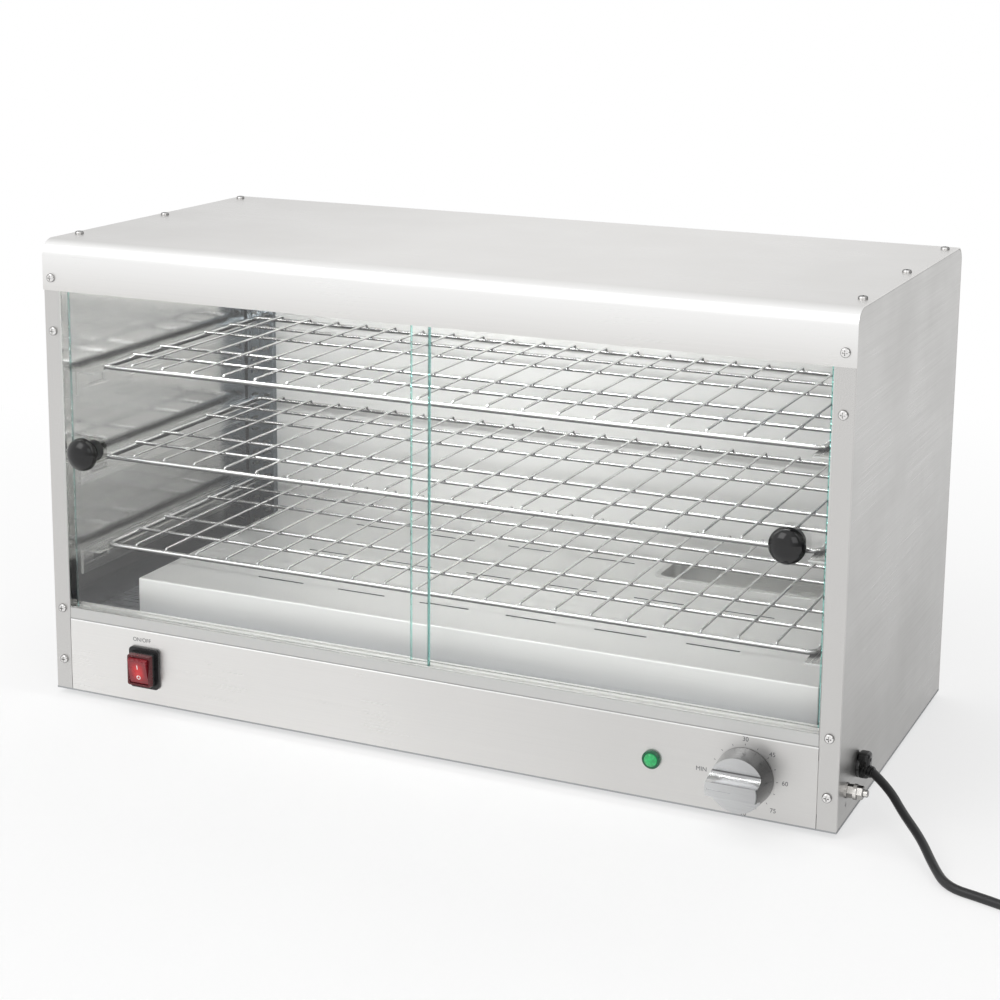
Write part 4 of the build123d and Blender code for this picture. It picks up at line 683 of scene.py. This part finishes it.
def finished(name, mesh, material, body="cabinet", smooth=True):
    """A piece made from a mesh, riding on its body."""
    piece = placed(name, mesh)
    mesh.materials.clear()
    mesh.materials.append(material)
    mesh.polygons.foreach_set("use_smooth", [smooth] * len(mesh.polygons))
    if smooth:
        mesh.set_sharp_from_angle(angle=math.radians(32))
    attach(piece, body)
    return piece


def mesh_from(bm, name):
    """A mesh from a finished bmesh, its doubles merged and its faces turned outwards."""
    bmesh.ops.remove_doubles(bm, verts=bm.verts, dist=1e-6)
    bmesh.ops.recalc_face_normals(bm, faces=bm.faces)
    mesh = bpy.data.meshes.new(name)
    bm.to_mesh(mesh)
    bm.free()
    return mesh


def words(text, size, place, lift=0.00006):
    """Flat upright lettering that faces the front, centred at a place, as a mesh."""
    curve = bpy.data.curves.new("words", "FONT")
    curve.body = text
    curve.size = size
    curve.align_x = "CENTER"
    curve.align_y = "CENTER"
    curve.extrude = lift / 3
    holder = placed("words", curve)
    bpy.context.view_layer.update()
    solved = holder.evaluated_get(bpy.context.evaluated_depsgraph_get())
    mesh = bpy.data.meshes.new_from_object(solved)
    bpy.data.objects.remove(holder)
    mesh.transform(Matrix.Translation(place) @ Matrix.Rotation(math.radians(90), 4, "X"))
    return mesh


def joined(meshes, name):
    """One mesh from several."""
    bm = bmesh.new()
    for mesh in meshes:
        bm.from_mesh(mesh)
    return mesh_from(bm, name)


def bar(place, width, height, turn=0.0, lift=0.00006):
    """A thin printed bar on the front, turned about its middle."""
    bm = bmesh.new()
    bmesh.ops.create_cube(bm, size=1.0)
    bmesh.ops.scale(bm, vec=(width, lift / 1.5, height), verts=bm.verts)
    bmesh.ops.rotate(bm, cent=(0, 0, 0), matrix=Matrix.Rotation(turn, 3, "Y"), verts=bm.verts)
    bmesh.ops.translate(bm, vec=place, verts=bm.verts)
    return mesh_from(bm, "bar")


def nurbs_cord(name, points, diameter):
    """A round cord whose line is a smooth spline with these control points."""
    curve = bpy.data.curves.new(name, "CURVE")
    curve.dimensions = "3D"
    curve.bevel_depth = diameter / 2
    curve.bevel_resolution = 5
    curve.resolution_u = 5
    curve.use_fill_caps = True
    spline = curve.splines.new("NURBS")
    spline.points.add(len(points) - 1)
    for point, place in zip(spline.points, points):
        point.co = (*place, 1.0)
    spline.order_u = 3
    spline.use_endpoint_u = True
    return placed(name, curve)


def rounded_block(size, middle, radius, segments):
    """A block with all its edges rounded."""
    bm = bmesh.new()
    bmesh.ops.create_cube(bm, size=1.0)
    bmesh.ops.scale(bm, vec=size, verts=bm.verts)
    bmesh.ops.bevel(
        bm, geom=bm.edges[:], offset=radius, affect="EDGES", segments=segments, profile=0.5, material=-1
    )
    bmesh.ops.translate(bm, vec=middle, verts=bm.verts)
    return bm


def turned(profile, middle, axis, steps):
    """A shape spun about a line through its middle, from (radius, distance along it) in millimetres."""
    bm = bmesh.new()
    points = [bm.verts.new((radius * MM, 0, along * MM)) for radius, along in profile]
    edges = [bm.edges.new(pair) for pair in zip(points, points[1:])]
    bmesh.ops.spin(
        bm, geom=points + edges, cent=(0, 0, 0), axis=(0, 0, 1), angle=math.tau, steps=steps, use_merge=True
    )
    lean = Vector(axis).to_track_quat("Z", "Y").to_matrix()
    bmesh.ops.rotate(bm, cent=(0, 0, 0), matrix=lean, verts=bm.verts)
    bmesh.ops.translate(bm, vec=middle, verts=bm.verts)
    return bm


def background_rays(nodes, links):
    """One for rays from the camera, off metal or through glass, which are to meet a white background."""
    ray = nodes.new("ShaderNodeLightPath").outputs
    total = ray["Is Camera Ray"]
    for name in ("Is Glossy Ray", "Is Transmission Ray"):
        total = worked(nodes, links, "MAXIMUM", total, ray[name])
    return total


class PIEWARMER_OT_stage(bpy.types.Operator):
    """Set up the floor, the surround, the lamps and the camera"""

    bl_idname = "piewarmer.stage"
    bl_label = "Stage"

    def execute(self, context):
        stage = context.scene.pie_stage
        context.scene.view_settings.view_transform = "Standard"
        self.camera(context, stage)
        self.floor()
        self.surround(context, stage)
        self.lamps(stage)
        return {"FINISHED"}

    def camera(self, context, stage):
        data = bpy.data.cameras.new("Camera")
        data.lens = stage.lens
        data.sensor_width = 36
        data.sensor_fit = "HORIZONTAL"
        data.shift_y = stage.shift
        data.clip_end = 100
        camera = placed("Camera", data)
        turn = (
            Matrix.Rotation(-stage.yaw, 4, "Z")
            @ Matrix.Rotation(math.radians(90) + stage.pitch, 4, "X")
            @ Matrix.Rotation(stage.roll, 4, "Z")
        )
        camera.matrix_world = Matrix.Translation(stage.place) @ turn
        context.scene.camera = camera

    def floor(self):
        bm = bmesh.new()
        bmesh.ops.create_grid(bm, x_segments=1, y_segments=1, size=6.0)
        mesh = bpy.data.meshes.new("Floor")
        bm.to_mesh(mesh)
        bm.free()
        floor = placed("Floor", mesh)
        material, nodes, links, shader = blank_material("Studio floor")
        cloud = effect(nodes, "smudge", scale=2.0).outputs["Mask"]
        tone = mix_colours(nodes, links, cloud, (0.93, 0.93, 0.93, 1.0), (0.95, 0.95, 0.95, 1.0))
        links.new(tone, shader.inputs["Base Color"])
        shader.inputs["Roughness"].default_value = 0.9
        paper = nodes.new("ShaderNodeEmission")
        paper.inputs["Color"].default_value = (1, 1, 1, 1)
        place = nodes.new("ShaderNodeTexCoord")
        reach = nodes.new("ShaderNodeVectorMath")
        reach.operation = "LENGTH"
        links.new(place.outputs["Object"], reach.inputs[0])
        far = range_node(nodes, 0.5, 1.4, 0.60, 1.0)
        links.new(reach.outputs["Value"], far.inputs["Value"])
        seen = worked(nodes, links, "MULTIPLY", far.outputs[0], background_rays(nodes, links))
        mix_surfaces(nodes, links, seen, shader, paper)
        mesh.materials.append(material)

    def surround(self, context, stage):
        world = bpy.data.worlds.new("Surround")
        context.scene.world = world
        world.use_nodes = True
        nodes, links = world.node_tree.nodes, world.node_tree.links
        lit = nodes["Background"]
        seen = nodes.new("ShaderNodeBackground")
        seen.inputs["Color"].default_value = (1, 1, 1, 1)
        place = nodes.new("ShaderNodeTexCoord")
        split = nodes.new("ShaderNodeSeparateXYZ")
        links.new(place.outputs["Generated"], split.inputs[0])
        side = range_node(nodes, 0.15, 0.9, 1.0, 0.34)
        links.new(split.outputs["X"], side.inputs["Value"])
        links.new(side.outputs[0], lit.inputs["Color"])
        lit.inputs["Strength"].default_value = stage.world
        camera_ray = nodes.new("ShaderNodeLightPath").outputs["Is Camera Ray"]
        mix_surfaces(nodes, links, camera_ray, lit, seen, "World Output")

    def lamps(self, stage):
        for name, power, size, place in (
            ("Key", stage.key, 1.6, Vector((-1.1, -1.9, 2.2))),
            ("Fill", stage.key * 0.35, 1.2, Vector((1.6, -1.6, 1.4))),
        ):
            self.lamp(name, power, (size, size), place, Vector((0, 0, 0.2)) - place)
        low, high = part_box("ceiling_lining")
        place = Vector(((low.x + high.x) / 2, FACE_Y + 40 * MM, low.z - 9 * MM))
        self.lamp("Chamber", stage.chamber, (0.66, 0.03), place, Vector((0, 0.30, -0.20)))

    def lamp(self, name, power, size, place, aim):
        """A flat lamp that faces along its aim."""
        data = bpy.data.lights.new(name, "AREA")
        data.shape = "RECTANGLE"
        data.size, data.size_y = size
        data.energy = power
        turn = aim.to_track_quat("-Z", "Y").to_matrix().to_4x4()
        placed(name, data).matrix_world = Matrix.Translation(place) @ turn


class PIEWARMER_OT_cord(bpy.types.Operator):
    """Lay the mains cord, its coil, its strain relief and its plug"""

    bl_idname = "piewarmer.cord"
    bl_label = "Mains cord"

    def execute(self, context):
        sizes = context.scene.pie_sizes
        plug = self.plug()
        exit_point = Vector((385, -106.5, 39)) * MM
        points = self.route(sizes, exit_point)
        cord = nurbs_cord("mains_lead", points, sizes.cord_diameter)
        cord.data.materials.append(material_of("sheath"))
        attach(cord, "cabinet")
        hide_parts("mains_cord", "cord_coil")
        paint(material_of("brass"), "plug_pins")
        self.relief()
        return {"FINISHED"}

    def route(self, sizes, exit_point):
        """The free stretch down to the floor, the turns of the coil and the end at the plug."""
        bends = ((401.2, -116.4, 32.1), (418, -137.8, 22.9), (439.4, -163.4, 15.4), (455.7, -191.3, 8.3))
        bends += ((471.5, -214.5, 3.75), (500, -222, 3.75), (532, -232.5, 3.75), (566, -235.5, 3.75))
        points = [exit_point] + [Vector(bend) * MM for bend in bends]
        pitch = sizes.cord_diameter + 0.6 * MM
        rise = sizes.cord_diameter + 0.1 * MM
        low = sizes.cord_diameter / 2
        outer = sizes.coil_radius + pitch / 2
        inner = sizes.coil_radius - pitch / 2
        middle = Vector((points[-1].x + 36 * MM, points[-1].y + outer, 0))
        # the radius and layer of each turn as it is wound, and the degrees from one turn to the next
        turns = ((outer, 0), (inner, 0), (inner, 1), (inner, 2))
        turns += ((inner, 3), (outer, 3), (outer, 2), (outer, 1))
        turn, crossing = 300, 60
        # a spline through the middles of its control lines runs inside its points
        inward = 0.985
        for step in range(101):
            wound = 22.5 * step
            reach = wound + crossing / 2
            passed = min(len(turns) - 1, int(reach // turn))
            share = min(1.0, (reach - turn * passed) / crossing) if passed else 1.0
            share = share * share * (3 - 2 * share)
            start, level = turns[max(0, passed - 1)]
            end, next_level = turns[passed]
            radius = (start + (end - start) * share) / inward
            height = low + (level + (next_level - level) * share) * rise
            angle = math.radians(wound - 90)
            points.append(middle + Vector((math.cos(angle) * radius, math.sin(angle) * radius, height)))
        nose = Vector(((PLUG_LOW.x + PLUG_HIGH.x) / 2, PLUG_LOW.y, low + rise))
        return points + [nose - Vector((0, 16 * MM, 0)), nose + Vector((0, 1 * MM, 0))]

    def plug(self):
        """A moulded plug that lies on its side on the floor, with a ribbed nose."""
        low = Vector((PLUG_LOW.x, PLUG_LOW.y + 8 * MM, PLUG_LOW.z))
        block = rounded_block(PLUG_HIGH - low, (low + PLUG_HIGH) / 2, 4.5 * MM, 5)
        top = [face for face in block.faces if face.normal.z > 0.99]
        bmesh.ops.inset_individual(block, faces=top, thickness=2.2 * MM, depth=-0.5 * MM)
        profile = [(0, 0), (5.2, 0)]
        for rib in range(3):
            start = 0.8 + 2.3 * rib
            profile += [(5.2, start), (6.4, start + 0.2), (6.4, start + 1.3), (5.3, start + 1.5)]
        profile += [(6.5, 8.2), (6.5, 10), (0, 10)]
        middle = Vector(((low.x + PLUG_HIGH.x) / 2, PLUG_LOW.y, 11.4 * MM))
        collar = turned(profile, middle, (0, 1, 0), 32)
        mesh = joined([mesh_from(block, "block"), mesh_from(collar, "collar")], "plug_moulding")
        piece = finished("plug_moulding", mesh, material_of("rubber"))
        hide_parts("plug")
        return piece

    def relief(self):
        """The ribbed bush that holds the cord in the side panel, under its hood, leaning with the cord."""
        middle = Vector((BODY_HIGH.x, -102.5 * MM, 41 * MM))
        flange = [(0, -10.2), (5.6, -10.2), (5.9, -9.8), (5.9, 0), (9.0, 0), (9.0, 2.0), (8.6, 2.8)]
        flange += [(7.4, 3.2), (0, 3.2)]
        bush = [(0, 1.0), (5.6, 1.0)]
        for rib in range(4):
            start = 3.8 + 2.6 * rib
            radius = 5.7 - 0.2 * rib
            bush += [(radius - 0.6, start), (radius, start + 0.3), (radius, start + 1.6)]
            bush += [(radius - 0.7, start + 1.9)]
        bush += [(4.7, 14.2), (4.4, 14.6), (0, 14.6)]
        rivet = [(0, 10.6), (1.7, 10.6), (1.7, 11.2), (1.2, 11.6), (0, 11.7)]
        hood_size, hood_middle = Vector((11.0, 12.5, 22.0)) * MM, middle + Vector((5.5, 0, 2.5)) * MM
        forms = (
            turned(flange, middle, (1, 0, 0), 40),
            turned(bush, middle, Vector((14, -4, -2)) * MM, 40),
            rounded_block(hood_size, hood_middle, 3.4 * MM, 6),
            turned(rivet, middle + Vector((0, -1.6, 8.0)) * MM, (1, 0, 0), 20),
        )
        mesh = joined([mesh_from(form, "form") for form in forms], "relief_bush")
        piece = finished("relief_bush", mesh, material_of("gloss"))
        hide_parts("strain_relief")


class PIEWARMER_OT_body(bpy.types.Operator):
    """Finish the outer sheet metal and its screws"""

    bl_idname = "piewarmer.body"
    bl_label = "Body sheet"

    def execute(self, context):
        finish = context.scene.pie_finish
        steel = tuple(finish.steel)
        paint(top_material(steel, finish), "top_cover")
        paint(panel_material(steel, finish), "control_panel")
        paint(material_of("along"), "back_panel")
        paint(material_of("deep"), "left_side", "right_side")
        paint(
            material_of("screw"), "front_screws", "fascia_screws", "top_screws", "rear_screws",
            "base_screws", "foot_screws", "thermostat_screws",
        )
        paint(material_of("galvanised"), "base_plate")
        paint(material_of("rubber"), "feet")
        return {"FINISHED"}


class PIEWARMER_OT_chamber(bpy.types.Operator):
    """Finish the linings, rails, racks, cover and tray inside the cabinet"""

    bl_idname = "piewarmer.chamber"
    bl_label = "Heated chamber"

    def execute(self, context):
        paint(material_of("lining"), "left_lining", "right_lining")
        paint(material_of("back"), "back_lining", "ceiling_lining")
        paint(material_of("floor"), "chamber_floor")
        paint(material_of("sill"), "door_track_bottom")
        paint(material_of("track"), "door_track_top")
        paint(material_of("ledge"), "left_ledges", "right_ledges")
        paint(material_of("slotted"), "left_upright", "right_upright")
        paint(material_of("wire"), "rack_bottom", "rack_middle", "rack_top")
        paint(material_of("cover"), "heater_cover")
        paint(material_of("tray"), "water_tray", "element_brackets")
        paint(material_of("heated"), "heating_elements")
        return {"FINISHED"}


class PIEWARMER_OT_doors(bpy.types.Operator):
    """Finish the glass doors and their knobs"""

    bl_idname = "piewarmer.doors"
    bl_label = "Glass doors"

    def execute(self, context):
        finish = context.scene.pie_finish
        # painted highlight: the right pane's edges are the same glass painted lighter
        edges = {"left_glass": tuple(finish.glass_edge), "right_glass": shade(finish.glass_edge, 2.6)[:3]}
        for name, edge in edges.items():
            paint(pane_material(name + " clear", tuple(finish.glass), edge, *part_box(name)), name)
        paint(material_of("gloss"), "left_door_knob", "right_door_knob")
        paint(material_of("black"), "left_door_nut", "right_door_nut")
        return {"FINISHED"}


class PIEWARMER_OT_controls(bpy.types.Operator):
    """Finish the switch, lamp and thermostat and print the scale beside them"""

    bl_idname = "piewarmer.controls"
    bl_label = "Controls"

    def execute(self, context):
        sizes = context.scene.pie_sizes
        paint(material_of("boot"), "switch_housing")
        paint(material_of("rocker"), "switch_rocker")
        paint(material_of("bezel"), "lamp_bezel")
        paint(lens_material(), "lamp_lens")
        paint(material_of("knob"), "thermostat_knob", "thermostat_stem")
        self.scale(sizes)
        self.switch_words(sizes)
        self.rocker_marks()
        return {"FINISHED"}

    def scale(self, sizes):
        """The temperature scale round the knob."""

        def on_dial(reach, degrees):
            angle = math.radians(degrees)
            across, up = math.cos(angle) * reach, math.sin(angle) * reach
            return Vector((KNOB_MIDDLE.x + across, FACE_Y - PRINT_LIFT, KNOB_MIDDLE.z + up))

        meshes = []
        numbers = (("MIN", 180, 2.0), ("30", 90, -2.6), ("45", 45, -2.4), ("60", 0, -0.6))
        numbers += (("75", -45, 0.6), ("90", -90, -3.0))
        for text, degrees, more in numbers:
            meshes.append(words(text, sizes.letter, on_dial(sizes.number_radius + more * MM, degrees)))
        for step in range(13):
            degrees = 180 - 22.5 * step
            place = on_dial(sizes.tick_radius, degrees)
            meshes.append(bar(place, 1.5 * MM, 0.45 * MM, -math.radians(degrees)))
        mesh = joined(meshes, "dial_scale")
        finished("dial_scale", mesh, material_of("ink"), smooth=False)

    def switch_words(self, sizes):
        """The words over the switch."""
        place = Vector((SWITCH_MIDDLE.x - 3.0 * MM, FACE_Y - PRINT_LIFT, SWITCH_HIGH.z + 6.5 * MM))
        mesh = joined([words("ON/OFF", sizes.letter, place)], "switch_words")
        finished("switch_words", mesh, material_of("ink"), smooth=False)

    def rocker_marks(self):
        """The line and the ring on the rocker's two halves."""
        pivot = Vector((SWITCH_MIDDLE.x, FACE_Y - 8.5 * MM, SWITCH_MIDDLE.z))
        face = -4.03 * MM
        line = bar(Vector((0, face, 5.2 * MM)), 0.9 * MM, 4.4 * MM)
        profile = [(1.35, -0.04), (2.15, -0.04), (2.15, 0.04), (1.35, 0.04), (1.35, -0.04)]
        ring = turned(profile, Vector((0, face, -5.4 * MM)), (0, 1, 0), 28)
        mesh = joined([line, mesh_from(ring, "ring")], "rocker_marks")
        mesh.transform(Matrix.Translation(pivot) @ Matrix.Rotation(ROCKER_TILT, 4, "X"))
        finished("rocker_marks", mesh, material_of("mark"), "rocker", smooth=False)


class PIEWARMER_OT_base(bpy.types.Operator):
    """Finish the bonding terminal and what lies hidden in the base"""

    bl_idname = "piewarmer.base"
    bl_label = "Base and terminal"

    def execute(self, context):
        paint(material_of("zinc"), "bonding_stud", "bonding_washers", "bonding_nuts")
        paint(material_of("ceramic"), "terminal_block", "thermostat_body")
        paint(material_of("brass"), "block_screws")
        paint(material_of("copper"), "thermostat_bulb")
        paint(material_of("lead"), "wiring")
        paint(material_of("sheath"), "cord_inner_end")
        self.earth_mark()
        return {"FINISHED"}

    def earth_mark(self):
        """The small bonding sign beside the terminal, a stem on three bars."""
        meshes = [bar(Vector((0, 0, 2.2 * MM)), 0.35 * MM, 2.6 * MM)]
        for row, width in enumerate((4.4, 2.9, 1.4)):
            meshes.append(bar(Vector((0, 0, (0.9 - 0.9 * row) * MM)), width * MM, 0.35 * MM))
        mesh = joined(meshes, "earth_mark")
        side = Vector((BODY_HIGH.x + PRINT_LIFT, STUD_MIDDLE.y - 1 * MM, STUD_MIDDLE.z - 13 * MM))
        mesh.transform(Matrix.Translation(side) @ Matrix.Rotation(math.radians(90), 4, "Z"))
        finished("earth_mark", mesh, material_of("ink"), smooth=False)


OPERATORS = (
    PIEWARMER_OT_stage,
    PIEWARMER_OT_cord,
    PIEWARMER_OT_body,
    PIEWARMER_OT_chamber,
    PIEWARMER_OT_doors,
    PIEWARMER_OT_controls,
    PIEWARMER_OT_base,
)


class PIEWARMER_PT_sidebar(bpy.types.Panel):
    """Buttons for each group of pieces"""

    bl_idname = "PIEWARMER_PT_sidebar"
    bl_label = "Pie Warmer"
    bl_space_type = "VIEW_3D"
    bl_region_type = "UI"
    bl_category = "Pie Warmer"

    def draw(self, context):
        for operator in OPERATORS:
            self.layout.operator(operator.bl_idname)


CLASSES = (FinishSettings, SizeSettings, StageSettings, *OPERATORS, PIEWARMER_PT_sidebar)


def register():
    for item in CLASSES:
        bpy.utils.register_class(item)
    bpy.types.Scene.pie_finish = bpy.props.PointerProperty(type=FinishSettings)
    bpy.types.Scene.pie_sizes = bpy.props.PointerProperty(type=SizeSettings)
    bpy.types.Scene.pie_stage = bpy.props.PointerProperty(type=StageSettings)


def unregister():
    del bpy.types.Scene.pie_stage
    del bpy.types.Scene.pie_sizes
    del bpy.types.Scene.pie_finish
    for item in reversed(CLASSES):
        bpy.utils.unregister_class(item)


def main():
    """Register the classes and build every piece in order."""
    register()
    bpy.ops.piewarmer.stage()
    bpy.ops.piewarmer.cord()
    bpy.ops.piewarmer.body()
    bpy.ops.piewarmer.chamber()
    bpy.ops.piewarmer.doors()
    bpy.ops.piewarmer.controls()
    bpy.ops.piewarmer.base()


if __name__ == "__main__":
    main()
